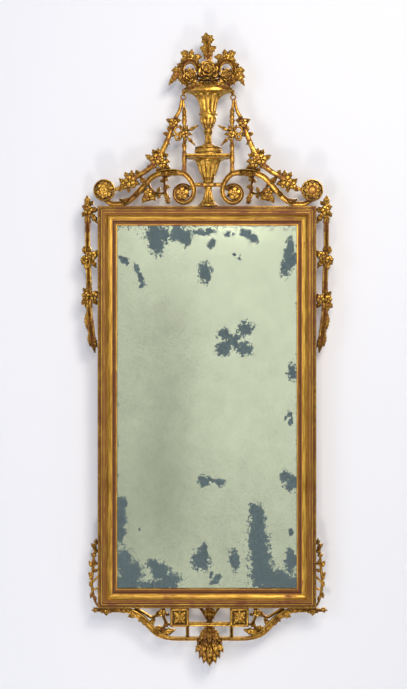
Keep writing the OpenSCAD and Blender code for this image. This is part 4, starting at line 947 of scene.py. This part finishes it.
# Its turnings, as half width and height
FOOT = [[33, 4], [28.5, 8], [23, 15], [17.5, 25], [14, 36], [12, 47], [12, 56]]
FOOT_NECK = [(13.4, 57.5), (13.4, 60), (12, BAR_Z), (0, BAR_Z)]
BELL = [[16, BELL_Z], [19, 86], [24, 98], [30, 112], [35, 126], [38.5, 136], [41, 142], [51, 147.5],
        [66, 150]]
SOCLE = [(0, SOCLE_Z), (41, SOCLE_Z), (43, 163), (43.4, 165), (42.6, 167), (40.6, 168), (40.4, 169.4),
         (43, 170.4), (43.6, 173), (43.6, 179), (42.8, 181.4), (40.8, 182.8), (40.4, 184), (41.6, 185),
         (41.8, 187), (40.6, 189), (38.6, URN_FOOT_Z), (0, URN_FOOT_Z)]
URN_FOOT = [[22, 191], [21.6, 194], [17, 197], [12.6, 203], [10.6, 212], [10.4, 224], [11, 228]]
URN_NECK = [(13.6, 229), (14.4, 231), (13.6, 233), (12.4, 234), (15, 235.4), (15, URN_Z), (0, URN_Z)]
URN = [[14, URN_Z], [14.5, 240], [14, 243], [12, 245], [13, 247], [17, 252], [22, 260], [25.5, 269],
       [27, 278], [25, 284], [24.5, 287], [27.5, 289], [28.4, 291.5], [28, 294.5], [26, 297], [26, 300],
       [28, 312], [31, 326], [37, 340], [48, 350], [64, 356.5], [80, 360], [82.6, 363], [82.8, 367],
       [80, 370], [73, 374.5], [61, 381], [35, 390]]
# Its bars, as depth and height
CROSS_BAR = [(0, BAR_Z), (9, BAR_Z), (11, 63), (12.4, 65), (13, BAR_MIDDLE), (12.4, 72), (11, 74),
             (9, BELL_Z), (0, BELL_Z)]
ABACUS = [(0, ABACUS_Z), (31, ABACUS_Z), (33, 151.8), (33.6, 153.4), (33, 155), (35.6, 155.6),
          (37.4, 156.6), (38, 158.4), (37.4, 160.2), (36, 161.2), (36, SOCLE_Z), (0, SOCLE_Z)]
# How deep the furrows are along them, as height and share
FOOT_FURROWS = [(4, 0), (5, 0.9), (20, 1), (50, 0.8), (56, 0)]
BELL_FURROWS = [(75, 0.3), (90, 0.8), (110, 1), (137, 1), (144, 0)]
URN_FOOT_FURROWS = [(196, 0), (200, 1), (224, 1), (228, 0)]
URN_FURROWS = [(247, 0), (252, 0.9), (276, 1), (281, 0), (297, 0), (301, 1), (348, 1), (355, 0.6), (358, 0)]


def smooth(profile, steps=3):
    return [tuple(point) for point in spline(profile, steps)]


def socle_turning(r, a, z):
    """The socle is a turning set back, so that only its front stands out."""
    return r * math.cos(a), min(0, 12 - r * math.sin(a)), z


class PIER_OT_pedestal(bpy.types.Operator):
    """Carve the pedestal: foot, cross bar, acanthus bell, abacus and socle"""
    bl_idname = "pier.pedestal"
    bl_label = "Pedestal"

    def execute(self, context):
        with carving("pedestal_foot", on_crest()) as bm:
            profile = [(0, 0), (33, 0)] + smooth(FOOT) + FOOT_NECK
            turned(bm, profile, fluted(6, 0.2, between(FOOT_FURROWS), full_depth), 72)

        with carving("cross_bar", on_crest()) as bm:
            bar(bm, -46, 46, CROSS_BAR)
            for s in (-1, 1):
                leaf(bm, 12 * s, BAR_MIDDLE, 90 - 90 * s, 20, 11, 16, 2)
            flower(bm, 0, BAR_MIDDLE, 8, 17, 5, 18)

        with carving("acanthus_bell", on_crest()) as bm:
            profile = [(0, BELL_Z)] + smooth(BELL, 4) + [(66, ABACUS_Z), (0, ABACUS_Z)]
            turned(bm, profile, fluted(5, 0.17, between(BELL_FURROWS)), 120)
            leaves(bm, ((0, 77, 90, 34, 14), (-12, 78, 103, 28, 11), (12, 78, 77, 28, 11)), 22, 3)

        with carving("abacus", on_crest()) as bm:
            bar(bm, -68, 68, ABACUS)

        with carving("socle", on_crest()) as bm:
            turned(bm, SOCLE, socle_turning, 96)
        return {"FINISHED"}


class PIER_OT_urn(bpy.types.Operator):
    """Turn and carve the urn and its foot, and gild the rings in its lip"""
    bl_idname = "pier.urn"
    bl_label = "Urn"

    def execute(self, context):
        with carving("urn_foot", on_crest()) as bm:
            profile = [(0, URN_FOOT_Z), (22, URN_FOOT_Z)] + smooth(URN_FOOT) + URN_NECK
            turned(bm, profile, fluted(6, 0.2, between(URN_FOOT_FURROWS), full_depth, 0.6), 72)

        with carving("urn_body", on_crest()) as bm:
            profile = [(0, URN_Z)] + smooth(URN) + [(0, URN_TOP)]
            turned(bm, profile, fluted(5, 0.19, between(URN_FURROWS)), 120)
            # Beads round the waist
            waist, beads = 27.6, 9
            for i in range(beads):
                a = math.pi * (i + 0.5) / beads
                dome(bm, waist * math.cos(a), 291.6, 2.6, 2.8, relief(waist) * math.sin(a))
            leaves(bm, ((0, 246, 90, 28, 14), (-11, 248, 100, 26, 12), (11, 248, 80, 26, 12)),
                   relief(26) * 0.97)
            for s in (-1, 1):
                # Gadroons on the slope of the lip, and small leaves at its ends
                leaf(bm, s * 13, 387, 90 - s * 108, 66, 21, 16.5, 5, 22.5, tip=0.85, root=0.8)
                leaf(bm, s * 15, 378, 90 - s * 103, 62, 12, 15, 4, 24, tip=0.7, root=0.8)
                leaf(bm, s * 79, 372, 270 - s * 8, 24, 13, 12, 3)
            leaves(bm, ((0, 394, 270, 36, 18), (-12, 393, 256, 30, 15), (12, 393, 284, 30, 15)), 40.2)
        dress("urn_rings", worn_gilt)
        return {"FINISHED"}


TASSEL_X = 75.5
KNOT_Z = 228
# The cord's middle and width, from its ring down to the fringe
TASSEL = [[79, 335, 7], [77.5, 316, 9]] + [[TASSEL_X, z, width] for z, width in (
    (290, 11.5), (268, 13), (248, 9.5), (214, 9.5), (205, 10.5), (181, 11.5), (170, 12.5), (161, 15),
    (147, 16), (134, 13.5), (124, 14.5), (107.5, 16))]


class PIER_OT_tassels(bpy.types.Operator):
    """Lay the cords with their husks and tassels"""
    bl_idname = "pier.tassels"
    bl_label = "Tassels"

    def execute(self, context):
        def draw(bm, side):
            stem(bm, [[x, z, w, 0.62 * w + 1] for x, z, w in TASSEL])
            for z, length, width in ((314, 26, 9), (298, 24, 10), (284, 26, 11), (206, 26, 10),
                                     (178, 18, 10)):
                leaves(bm, [(TASSEL_X, z, 270 + a, length, width) for a in (-13, 13, 0)], 10.6)
            dome(bm, TASSEL_X, 160, 8.4, 11)
            dome(bm, TASSEL_X, 128, 7.4, 10)
            for x in (-5, -2.5, 0, 2.5, 5):
                stem(bm, [[TASSEL_X + 0.8 * x, 126, 3.2, 10], [TASSEL_X + 1.2 * x, 108, 3.4, 10.5]],
                     steps=3)

        on_both_sides(draw, on_crest, "tassel", cord_gilt, "worn_gilding")
        return {"FINISHED"}


class PIER_OT_knots(bpy.types.Operator):
    """Tie the bows of ribbon and leaves in front of the cords"""
    bl_idname = "pier.knots"
    bl_label = "Knots"

    def execute(self, context):
        def draw(bm, side):
            x, z = TASSEL_X, KNOT_Z
            for dx, dz, angle, length, width in ((-8, 8, 152, 44, 12), (-6, -6, 226, 44, 12),
                                                 (-3, 7, 112, 24, 13), (6, -8, -32, 26, 13),
                                                 (5, 10, 64, 22, 12), (-2, -10, 262, 20, 12),
                                                 (-8, 1, 186, 18, 12), (4, -3, 12, 20, 12)):
                leaf(bm, x + dx, z + dz, angle, length, width, 10, 2)
            flower(bm, x - 2, z - 1, 12, 14, 4, 30)
            dome(bm, x - 2, z - 1, 6, 14)
            for lift, r in ((12, 11), (-11, 8)):
                sweep(bm, [[*off(x + 20, z + lift, r, a), 7.6, 8] for a in range(200, -161, -20)])

        on_both_sides(draw, lambda side: on_crest(side, 8.5), "knot")
        return {"FINISHED"}


GARLAND = [[85, 336, 8], [89, 308, 11], [99, 287, 13], [109, 268, 15], [118, 240, 16], [129, 210, 17],
           [141, 182, 18], [155, 157, 18], [172, 132, 17], [195, 113, 17], [218, 99, 17], [241, 85, 17],
           [263, 67, 14], [296, 52, 11]]


class PIER_OT_garlands(bpy.types.Operator):
    """Carve the garlands of roses, buds and leaves from the rings to the paterae"""
    bl_idname = "pier.garlands"
    bl_label = "Garlands"

    def execute(self, context):
        def draw(bm, side):
            stem(bm, [[x, z, w, 0.78 * w] for x, z, w in GARLAND], steps=6)
            # Husks laid along the garland, each pair under the next
            path = spline(GARLAND, 3)
            for (x, z, w), (x2, z2, _) in zip(path[6::4], path[8::4]):
                a = math.degrees(math.atan2(z2 - z, x2 - x))
                leaves(bm, [(x, z, a + turn, 34, 0.54 * w) for turn in (-7, 7)], 15)
            leaves(bm, ((116, 252, 290, 22, 14), (122, 232, 205, 22, 14), (104, 270, 168, 20, 13),
                        (118, 270, 20, 18, 12), (126, 228, 12, 20, 12), (134, 206, 215, 18, 12),
                        (156, 162, 85, 26, 16), (144, 146, 190, 26, 16), (140, 130, 205, 24, 15),
                        (176, 148, 35, 30, 16), (166, 164, 58, 22, 14), (150, 128, 238, 24, 15),
                        (180, 132, -50, 22, 14), (142, 158, 158, 20, 13), (146, 160, 120, 22, 14),
                        (160, 124, 262, 20, 13), (242, 88, 92, 30, 17), (236, 78, 200, 24, 15),
                        (262, 72, 40, 29, 15), (254, 90, 64, 24, 14), (250, 62, 278, 20, 13),
                        (228, 92, 140, 20, 13), (270, 60, -40, 20, 12), (220, 100, 62, 20, 14)), 15)
            for x, z, r, h, petals in ((110, 264, 16, 19, 5), (122, 246, 9, 16, 5), (167, 148, 20, 23, 5),
                                       (146, 136, 16, 20, 5), (152, 156, 13, 21, 5), (172, 130, 11, 18, 5),
                                       (247, 80, 20, 21, 5), (266, 67, 14, 18, 4), (238, 68, 11, 17, 5)):
                flower(bm, x, z, r, h, petals, x * 7)

        on_both_sides(draw, on_crest, "garland")
        return {"FINISHED"}


class PIER_OT_bouquet(bpy.types.Operator):
    """Carve the roses in the urn, the star flowers, the drooping leaves and the top sprig"""
    bl_idname = "pier.bouquet"
    bl_label = "Bouquet"

    def execute(self, context):
        with carving("centre_rose", on_crest()) as bm:
            for a in (-62, -28, 208, 242, 150, 30):
                leaf(bm, *off(0, 430, 18, a), a, 26, 20, 22, 3)
            rose(bm, 0, 430, 34, 38, 6, 15)
            for x, z, a in ((-12, 400, 258), (12, 400, 282), (0, 402, 270), (-22, 402, 250),
                            (22, 402, 290)):
                leaf(bm, x, z, a, 16, 13, 36, 2)

        with carving("side_roses", Matrix()) as bm:
            for side, _ in SIDES:
                with part_of(bm, on_crest(side)) as part:
                    for a in (-20, -70, 200, 250, 60, 110):
                        leaf(part, *off(57, 410, 12, a), a, 18, 15, 16, 3)
                    rose(part, 57, 411, 25, 28)

        def draw(bm, side):
            stem(bm, [[33, 424, 15, 11], [36, 443, 16, 12], [44, 456, 18, 12], [58, 463, 22, 12],
                      [72, 456, 18, 12], [80, 443, 16, 12], [81, 428, 15, 12], [75, 408, 14, 11]], VEINED)
            lean = 0 if side < 0 else 9  # the right leaf droops more
            leaves(bm, ((60, 474, 28, 34, 20), (60, 470, -14, 30, 19), (55, 474, 100, 26, 16),
                        (50, 472, 178, 34, 18), (64, 478, 50, 24, 15), (46, 466, 205, 22, 14),
                        (85, 432, -2, 34, 20), (86, 426, -30, 38, 21), (84, 420, -72, 28, 17),
                        (80, 440, 60, 18, 13), (82, 444, 20, 20, 13), (76, 452, 40, 16, 11),
                        (34, 440, 150, 18, 13), (70, 400, 262, 24, 15), (78, 404, 284, 22, 13)), 14)
            leaf(bm, 84, 434, -47 - lean, 66 - 0.5 * lean, 23, 15, 5, bend=-0.06, tip=0.6)
            flower(bm, 57, 472, 13, 17, 5, 20)

        on_both_sides(draw, on_crest, "bouquet_sprig")

        with carving("finial_sprig", on_crest()) as bm:
            stem(bm, [[0, 466, 28, 12], [-1, 482, 25, 12], [-2, 498, 27, 12], [-3, 512, 19, 11],
                      [-4, 528, 20, 11]], VEINED)
            leaves(bm, ((0, 470, 62, 30, 16), (-2, 470, 118, 30, 16), (-3, 494, 158, 28, 18),
                        (0, 490, 32, 33, 19), (-3, 486, 140, 24, 15), (-1, 484, 52, 28, 16),
                        (-4, 500, 108, 24, 15), (-2, 500, 70, 24, 15), (-3, 526, 196, 21, 17),
                        (-3, 524, 12, 25, 18), (-6, 528, 150, 20, 14), (-1, 528, 40, 22, 15),
                        (-5, 519, 94, 34, 22)), 13, 3)
            dome(bm, -3, 508, 7, 13)
            dome(bm, -4, 530, 6, 13.4)
        return {"FINISHED"}


# ---------- the side drops ----------

# The stem of a side drop: its middle out from the frame's edge and down from the top, and its width
DROP = [[33, 6, 10], [33, -20, 17], [33, -80, 17], [33, -128, 17], [32, -165, 18], [30, -210, 18],
        [29, -245, 19], [29, -292, 19], [28, -322, 19], [27, -350, 22], [22, -390, 23], [17, -428, 20],
        [13, -448, 12], [10, -463, 3]]


def trim(bm):
    """Cuts off what would lie in the frame's edge, where a carving's x is below 0."""
    bmesh.ops.recalc_face_normals(bm, faces=bm.faces)
    cut = bmesh.ops.bisect_plane(bm, geom=bm.verts[:] + bm.edges[:] + bm.faces[:], dist=0.0001,
                                 plane_co=(0.05, 0, 0), plane_no=(-1, 0, 0), clear_outer=True)
    rim = [edge for edge in edges_of(cut["geom_cut"]) if edge.is_valid]
    if rim:
        bmesh.ops.holes_fill(bm, edges=rim, sides=0)


class PIER_OT_side_drops(bpy.types.Operator):
    """Carve the drops of flowers and husks beside the frame"""
    bl_idname = "pier.side_drops"
    bl_label = "Side drops"

    def execute(self, context):
        def draw(bm, side):
            low = 0 if side < 0 else -10  # the lower cluster hangs lower on the right
            stem(bm, [[x, z, w, 0.6 * w + 4] for x, z, w in DROP], VEINED)
            path = spline(DROP, 2)
            for x, z, w in path[3:22:4]:
                leaves(bm, [(x, z, 270 + turn, 44, 0.52 * w) for turn in (-6, 6)], 15.4)
            leaves(bm, ((32, 2, 85, 36, 19), (33, -6, 22, 22, 15), (24, -10, 180, 28, 18),
                        (39, -16, -56, 22, 14), (36, -24, 262, 46, 19), (22, -20, 240, 42, 16),
                        (26, 4, 130, 20, 13), (14, -148, 176, 22, 18), (41, -150, 80, 28, 15),
                        (22, -166, -120, 36, 15), (36, -172, 264, 38, 21), (44, -172, -56, 16, 12),
                        (30, -146, 100, 24, 14), (14, -276 + low, 162, 20, 16),
                        (37, -290 + low, -52, 28, 15), (28, -268 + low, 92, 26, 16),
                        (30, -290 + low, 268, 50, 22), (16, -292 + low, 232, 26, 15),
                        (38, -272 + low, 58, 20, 12)), 17)
            for x, z, r, h in ((30, -12, 16, 21), (38, 0, 10, 18), (17, -155, 15, 22), (42, -168, 14, 23),
                               (30, -152, 10, 22), (14, -282 + low, 15, 22), (38, -282 + low, 14, 20),
                               (40, -306 + low, 9, 17)):
                flower(bm, x, z, r, h, 5, z * 3)
            husks = ((31, -330, -104, 66, 16), (34, -332, -88, 60, 16), (32, -346, -96, 62, 14),
                     (27, -395, -92, 52, 14), (22, -398, -112, 56, 14), (25, -396, -104, 60, 12))
            leaves(bm, husks, 16, 5, 0.95)
            trim(bm)

        on_both_sides(draw, lambda side: on_edge(side, TOP), "side_drop")
        return {"FINISHED"}


class PIER_OT_lower_sprigs(bpy.types.Operator):
    """Carve the climbing sprigs at the frame's lower corners"""
    bl_idname = "pier.lower_sprigs"
    bl_label = "Lower sprigs"

    def execute(self, context):
        def draw(bm, side):
            stem(bm, [[5, 206, 5, 7], [10, 186, 6, 8], [14, 160, 7, 9], [16, 128, 9, 9], [18, 104, 9, 9],
                      [20, 80, 9, 9], [18, 55, 9, 9], [13, 30, 8, 8], [6, 11, 7, 8], [-4, -1, 6, 8]])
            for x, z, low in ((15, 130, 144), (18, 78, 104), (18, 54, 62)):
                stem(bm, [[x, z, 7, 8], [-6, low, 7, 8]])
            for x, z, angle, length, width in ((6, 208, 82, 22, 14), (11, 188, 75, 19, 16),
                                               (15, 165, 20, 20, 18)):
                bud(bm, x, z, angle, length, width, 16)
            leaves(bm, ((16, 126, 57, 26, 13), (15, 130, 98, 26, 12), (10, 190, 40, 18, 11),
                        (12, 172, 140, 16, 11), (20, 84, 78, 25, 12), (19, 62, 66, 22, 11),
                        (17, 50, -72, 26, 11), (15, 112, 150, 18, 11), (15, 36, 240, 20, 11),
                        (20, 98, 50, 18, 11), (14, 150, 250, 18, 11)), 12.6)
            trim(bm)

        on_both_sides(draw, lambda side: on_edge(side, BOTTOM), "lower_sprig")
        return {"FINISHED"}


# ---------- the apron ----------

BASE_Z = -99  # middle of the bottom bar
BLOCK, BLOCK_X = 59, 64.5  # size of a rosette block, and its inner edge
POST_X = 69.5
# The bar between the blocks, as depth and height, level with their lower edges
APRON_BAR = [(0, -BLOCK), (11, -BLOCK), (13.4, -58.4), (14.8, -56.6), (14.8, -53.6), (13, -52.6),
             (13, -51.6), (14.8, -50.4), (14.4, -47.6), (12.6, -46.2), (0, -46)]

# An apron scroll's middle and width, from the corner bud to the bottom bar, and the thin stems on it
APRON_SCROLL = [[352, -9, 10], [322, -8, 14], [292, -8, 15], [264, -9, 16], [242, -16, 18], [222, -28, 20],
                [206, -41, 21], [190, -57, 21], [173, -75, 20], [154, -88, 17], [131, -96, 13],
                [106, BASE_Z, 12], [72, BASE_Z, 12], [30, BASE_Z, 12]]
APRON_TENDRILS = ((10, ((236, -3), (208, -18), (184, -32), (167, -25), (151, -15), (142, -3))),
                  (10, ((151, -18), (144, -34), (139, -50), (147, -68), (163, -82))),
                  (9, ((142, -38), (135, -51), (124, -55))))


class PIER_OT_apron_scrolls(bpy.types.Operator):
    """Carve the apron's scrolls, from the corner buds to the bottom bar"""
    bl_idname = "pier.apron_scrolls"
    bl_label = "Apron scrolls"

    def execute(self, context):
        def draw(bm, side):
            stem(bm, [[x, z, w, 14] for x, z, w in APRON_SCROLL], BAND, 4)
            for width, points in APRON_TENDRILS:
                stem(bm, [[x, z, width, 11] for x, z in points], VEINED)
            leaves(bm, ((326, -5, 270, 24, 18), (320, -7, 232, 17, 13), (333, -7, 308, 17, 13),
                        (256, -12, 212, 34, 18), (284, -8, 190, 30, 15), (228, -22, -16, 34, 15),
                        (206, -34, -30, 24, 13), (154, -82, 168, 52, 19), (186, -56, 120, 24, 14),
                        (214, -38, 232, 30, 15), (180, -68, 225, 30, 15), (172, -70, 160, 26, 14),
                        (141, -50, 235, 18, 12), (178, -32, 262, 18, 12), (268, -9, 5, 40, 13),
                        (310, -8, 175, 34, 12), (196, -48, 50, 20, 12), (150, -66, 230, 20, 12),
                        (166, -26, 100, 16, 10), (158, -20, 320, 18, 11), (140, -20, 200, 16, 11)), 15.4)
            flower(bm, 150, -17, 13, 16, 5, 0)
            bud(bm, 362, -9, -5, 24, 17, 14)
            bud(bm, 345, -9, 0, 15, 13, 14)

        on_both_sides(draw, on_apron, "apron_scroll")
        return {"FINISHED"}


# The acanthus's stem, as height and width
ACANTHUS_STEM = ((-59.2, 30), (-79, 42), (-100, 54), (-124, 54), (-147, 60), (-163, 38), (-177, 15),
                 (-184, 4))
# The acanthus's leaves right of its middle: their height, and rows of x, z, turn outwards, length, width
ACANTHUS_TIERS = ((18, ((18, -110, 42, 42, 22), (9, -106, 24, 62, 22), (22, -97, 56, 24, 14),
                        (8, -128, 14, 52, 20), (16, -128, 30, 36, 18))),
                  (20, ((8, -66, 32, 50, 20), (6, -62, 17, 54, 18), (12, -84, 30, 32, 16))))


class PIER_OT_apron_middle(bpy.types.Operator):
    """Carve the rosette blocks, bars, bowed stems and the hanging acanthus"""
    bl_idname = "pier.apron_middle"
    bl_label = "Apron middle"

    def execute(self, context):
        def rosette(bm, side):
            x, z = BLOCK_X + BLOCK / 2, -BLOCK / 2
            block(bm, BLOCK_X, BLOCK_X + BLOCK, -BLOCK, 0, 14)
            # The border's bars: an outer step, and a rounded fillet on it
            for upright in (True, False):
                for far in (0, 1):
                    for inset, width, deep in ((0, 8.2, 20.6), (1.4, 5.2, 24)):
                        low = inset + far * (BLOCK - width - 2 * inset)
                        across, along = (low, low + width), (inset, BLOCK - inset)
                        (x0, x1), (z1, z0) = (across, along) if upright else (along, across)
                        block(bm, BLOCK_X + x0, BLOCK_X + x1, -z0, -z1, deep, bevel=1.2)
            for a in range(0, 360, 90):
                leaf(bm, *off(x, z, 4, a), a, 18, 12, 6, 2, 14)
                leaf(bm, *off(x, z, 2, a + 45), a + 45, 26, 17, 10, 2, 14, tip=0.6)
            flower(bm, x, z, 8, 6, 5, 20, 18)

        on_both_sides(rosette, on_apron, "rosette_block")

        with carving("apron_bar", on_apron()) as bm:
            bar(bm, -BLOCK_X, BLOCK_X, APRON_BAR)

        with carving("apron_posts", Matrix()) as bm:
            for side, _ in SIDES:
                with part_of(bm, on_apron(side)) as part:
                    stem(part, [[POST_X, z, 12, 11] for z in (-93.8, -80, -59.3)], VEINED, 2)

        with carving("apron_arcs", on_apron(), cord_gilt, "worn_gilding") as bm:
            arc = ((31, -0.5, 10), (24, -8, 11), (15, -22, 11), (7, -35, 10), (4, -45, 9))
            for s in (-1, 1):
                stem(bm, [[x * s, z, w, 13] for x, z, w in arc], VEINED)
                leaf(bm, 9 * s, -1, 270 + 6 * s, 38, 16, 16, 3)
            leaf(bm, 0, -1, 270, 46, 19, 21, 4)
            dome(bm, 0, -6, 8, 20)

        with carving("acanthus_drop", on_apron()) as bm:
            stem(bm, [[0, z, width, 14] for z, width in ACANTHUS_STEM], VEINED)
            # Two tiers of scale-like leaves, each row lying over the one below
            for s in (-1, 1):
                for height, rows in ACANTHUS_TIERS:
                    rows = [(s * x, z, 270 + s * turn, *size) for x, z, turn, *size in rows]
                    leaves(bm, rows, height, 4, 1.35)
            leaf(bm, 0, -106, 270, 79, 28, 21, 5, tip=1.2, root=0.7)
            leaf(bm, 0, -62, 270, 60, 24, 24, 4, tip=1.25, root=0.7)
            dome(bm, 0, -68, 8, 30)
        return {"FINISHED"}


# ---------- the stage ----------

WALL_Y = 0.062  # the wall stands a little behind the mirror's back
PLANE_Y = -0.02  # mean front of the carving, at which the camera's view is measured
VIEW_MM = 3.15  # what one pixel of the 689 in the view's height spans there
AWAY = 3.6  # from the camera to that plane
# Lamps: name, place, size across, watts and tint
LAMPS = (("key_lamp", (1.1, -3.0, 1.5), 1.3, 62, "#FFF7EC"),
         ("front_lamp", (0.2, -3.6, 0.7), 0.5, 20, "#FFF9F0"),
         ("low_lamp", (-0.3, -2.5, -2.95), 0.6, 26, "#FFF9F0"),
         ("fill_lamp", (-2.4, -3.0, -0.2), 1.6, 20, "#E4ECFF"),
         ("back_lamp", (1.2, 2.6, 1.2), 2.0, 60, "#FFFFFF"))
LAMP_AIM = Vector((0, 0, -0.4))


class PIER_OT_stage(bpy.types.Operator):
    """Set up the pale wall and floor, the soft lamps and the camera"""
    bl_idname = "pier.stage"
    bl_label = "Stage"

    def execute(self, context):
        scene = context.scene
        floor_paint = matt_white("white_floor", 0.3, False)
        stage_plane("floor", (0, -1.5, -3.4), (0, 0, 0), floor_paint)
        wall_paint = matt_white("white_wall", 0.05, True)
        wall = stage_plane("wall", (0, WALL_Y, 0.5), (math.pi / 2, 0, 0), wall_paint)
        # Only the camera sees the wall, so the lamp behind it lights the object's back
        for ray in ("diffuse", "glossy", "transmission", "volume_scatter", "shadow"):
            setattr(wall, "visible_" + ray, False)

        for name, at, size, watts, tint in LAMPS:
            lamp = bpy.data.lights.new(name, "AREA")
            lamp.shape = "DISK"
            lamp.size = size
            lamp.energy = watts
            lamp.color = linear(tint)[:3]
            turn = (LAMP_AIM - Vector(at)).to_track_quat("-Z", "Y").to_euler()
            placed_object(name, lamp, at, turn)

        world = scene.world or bpy.data.worlds.new("studio")
        scene.world = world
        world.use_nodes = True
        tree = world.node_tree
        tree.nodes.clear()
        seen = add(tree, "LightPath", out="Is Camera Ray")
        for ray in ("Is Transmission Ray", "Is Glossy Ray"):
            seen = add(tree, "Math", {0: seen, 1: add(tree, "LightPath", out=ray)}, operation="MAXIMUM")
        room = add(tree, "Background", {"Color": linear("#C8D6F6"), "Strength": 0.44})
        pale = add(tree, "Background", {"Color": (1, 1, 1, 1), "Strength": 0.8})
        add(tree, "OutputWorld", {0: add(tree, "MixShader", {0: seen, 1: room, 2: pale})})

        eye = bpy.data.cameras.new("camera")
        tall = 689 * VIEW_MM * MM
        eye.lens = eye.sensor_width / 2 / (tall / 2 / AWAY)
        scene.camera = placed_object("camera", eye, (-0.011, PLANE_Y - AWAY, -0.416), (math.pi / 2, 0, 0))
        scene.view_settings.view_transform = "Standard"
        return {"FINISHED"}


def placed_object(name, data, at, turn):
    """Puts a lamp, the camera or a plane in the scene."""
    obj = bpy.data.objects.new(name, data)
    obj.location = at
    obj.rotation_euler = turn
    bpy.context.scene.collection.objects.link(obj)
    return obj


def stage_plane(name, at, turn, material):
    """A square of nine metres for the floor or the wall."""
    bm = bmesh.new()
    bmesh.ops.create_grid(bm, x_segments=1, y_segments=1, size=4.5)
    mesh = bpy.data.meshes.new(name)
    bm.to_mesh(mesh)
    bm.free()
    mesh.materials.append(material)
    return placed_object(name, mesh, at, turn)


def matt_white(name, glow, clear_behind):
    """Matt white paint, lifted a little for the camera so that only the shadows tell."""
    material, t, _ = new_material(name)
    camera = add(t, "LightPath", out="Is Camera Ray")
    lift = add(t, "Math", {0: camera, 1: glow}, operation="MULTIPLY")
    paint = add(t, "BsdfPrincipled", {"Base Color": linear("#F2F1EF"), "Roughness": 0.9})
    lit = add(t, "Emission", {"Color": linear("#F4F3FA"), "Strength": lift})
    both = add(t, "AddShader", {0: paint, 1: lit})
    if clear_behind:
        back = add(t, "NewGeometry", out="Backfacing")
        both = add(t, "MixShader", {0: back, 1: both, 2: add(t, "BsdfTransparent")})
    add(t, "OutputMaterial", {0: both})
    return material


# ---------- the add-on ----------


def hue(name, description, code):
    return FloatVectorProperty(name=name, description=description, default=linear(code)[:3],
                               subtype="COLOR", size=3, min=0, max=1)


def spacing(name, description, default, least, most):
    return FloatProperty(name=name, description=description, default=default, min=least, max=most,
                         unit="LENGTH")


class PierMirrorSettings(bpy.types.PropertyGroup):
    outer_pitch: spacing("Outer pearl spacing", "Between pearls at the outer edge", 0.0056, 0.004, 0.009)
    sight_pitch: spacing("Sight pearl spacing", "Between pearls at the sight edge", 0.0058, 0.004, 0.009)
    foil_step: spacing("Foil grid", "Between the points that hold the foil's losses", 0.0038, 0.002, 0.01)
    gold_bright: hue("Bright gold", "Leaf where it is whole and burnished", "#CB9F48")
    gold_deep: hue("Deep gold", "Leaf where it is thin", "#835D24")
    bole: hue("Bole", "Red clay under the leaf", "#8E4C20")
    # The grime colour is also the painted shade laid into the gilding's hollows
    grime_and_shade: hue("Grime", "Dirt in the hollows", "#2E1C08")
    pine: hue("Pine", "Spring wood of the boards", "#A37B4A")
    iron: hue("Iron", "Blackened iron of the stay and nails", "#3D3A37")
    tin_clear: hue("Clear foil", "Foil in good state", "#F3F9E3")
    # Clouded foil, and the grey of the reflection painted into the foil
    tin_cloud_and_reflection: hue("Clouded foil", "Foil that has dulled", "#ADB39C")
    tin_lost: hue("Lost foil", "Corroded foil", "#344F5B")
    tin_crystal: hue("Foil crystals", "Pale crystals in the corroded foil", "#5E7884")


STEPS = (PIER_OT_stage, PIER_OT_moulding, PIER_OT_pearls, PIER_OT_plate, PIER_OT_back, PIER_OT_scrolls,
         PIER_OT_paterae, PIER_OT_spandrels, PIER_OT_pedestal, PIER_OT_urn, PIER_OT_tassels, PIER_OT_knots,
         PIER_OT_garlands, PIER_OT_bouquet, PIER_OT_side_drops, PIER_OT_lower_sprigs, PIER_OT_apron_scrolls,
         PIER_OT_apron_middle)


class PIER_PT_panel(bpy.types.Panel):
    """Pier mirror"""
    bl_idname = "PIER_PT_panel"
    bl_label = "Pier mirror"
    bl_space_type = "VIEW_3D"
    bl_region_type = "UI"
    bl_category = "Pier mirror"

    def draw(self, context):
        for name in PierMirrorSettings.__annotations__:
            self.layout.prop(context.scene.pier_mirror, name)
        for step in STEPS:
            self.layout.operator(step.bl_idname)


def register():
    for cls in (PierMirrorSettings, *STEPS, PIER_PT_panel):
        bpy.utils.register_class(cls)
    bpy.types.Scene.pier_mirror = PointerProperty(type=PierMirrorSettings)


def unregister():
    del bpy.types.Scene.pier_mirror
    for cls in reversed((PierMirrorSettings, *STEPS, PIER_PT_panel)):
        bpy.utils.unregister_class(cls)


def main():
    register()
    for step in STEPS:
        group, name = step.bl_idname.split(".")
        getattr(getattr(bpy.ops, group), name)()


if __name__ == "__main__":
    main()
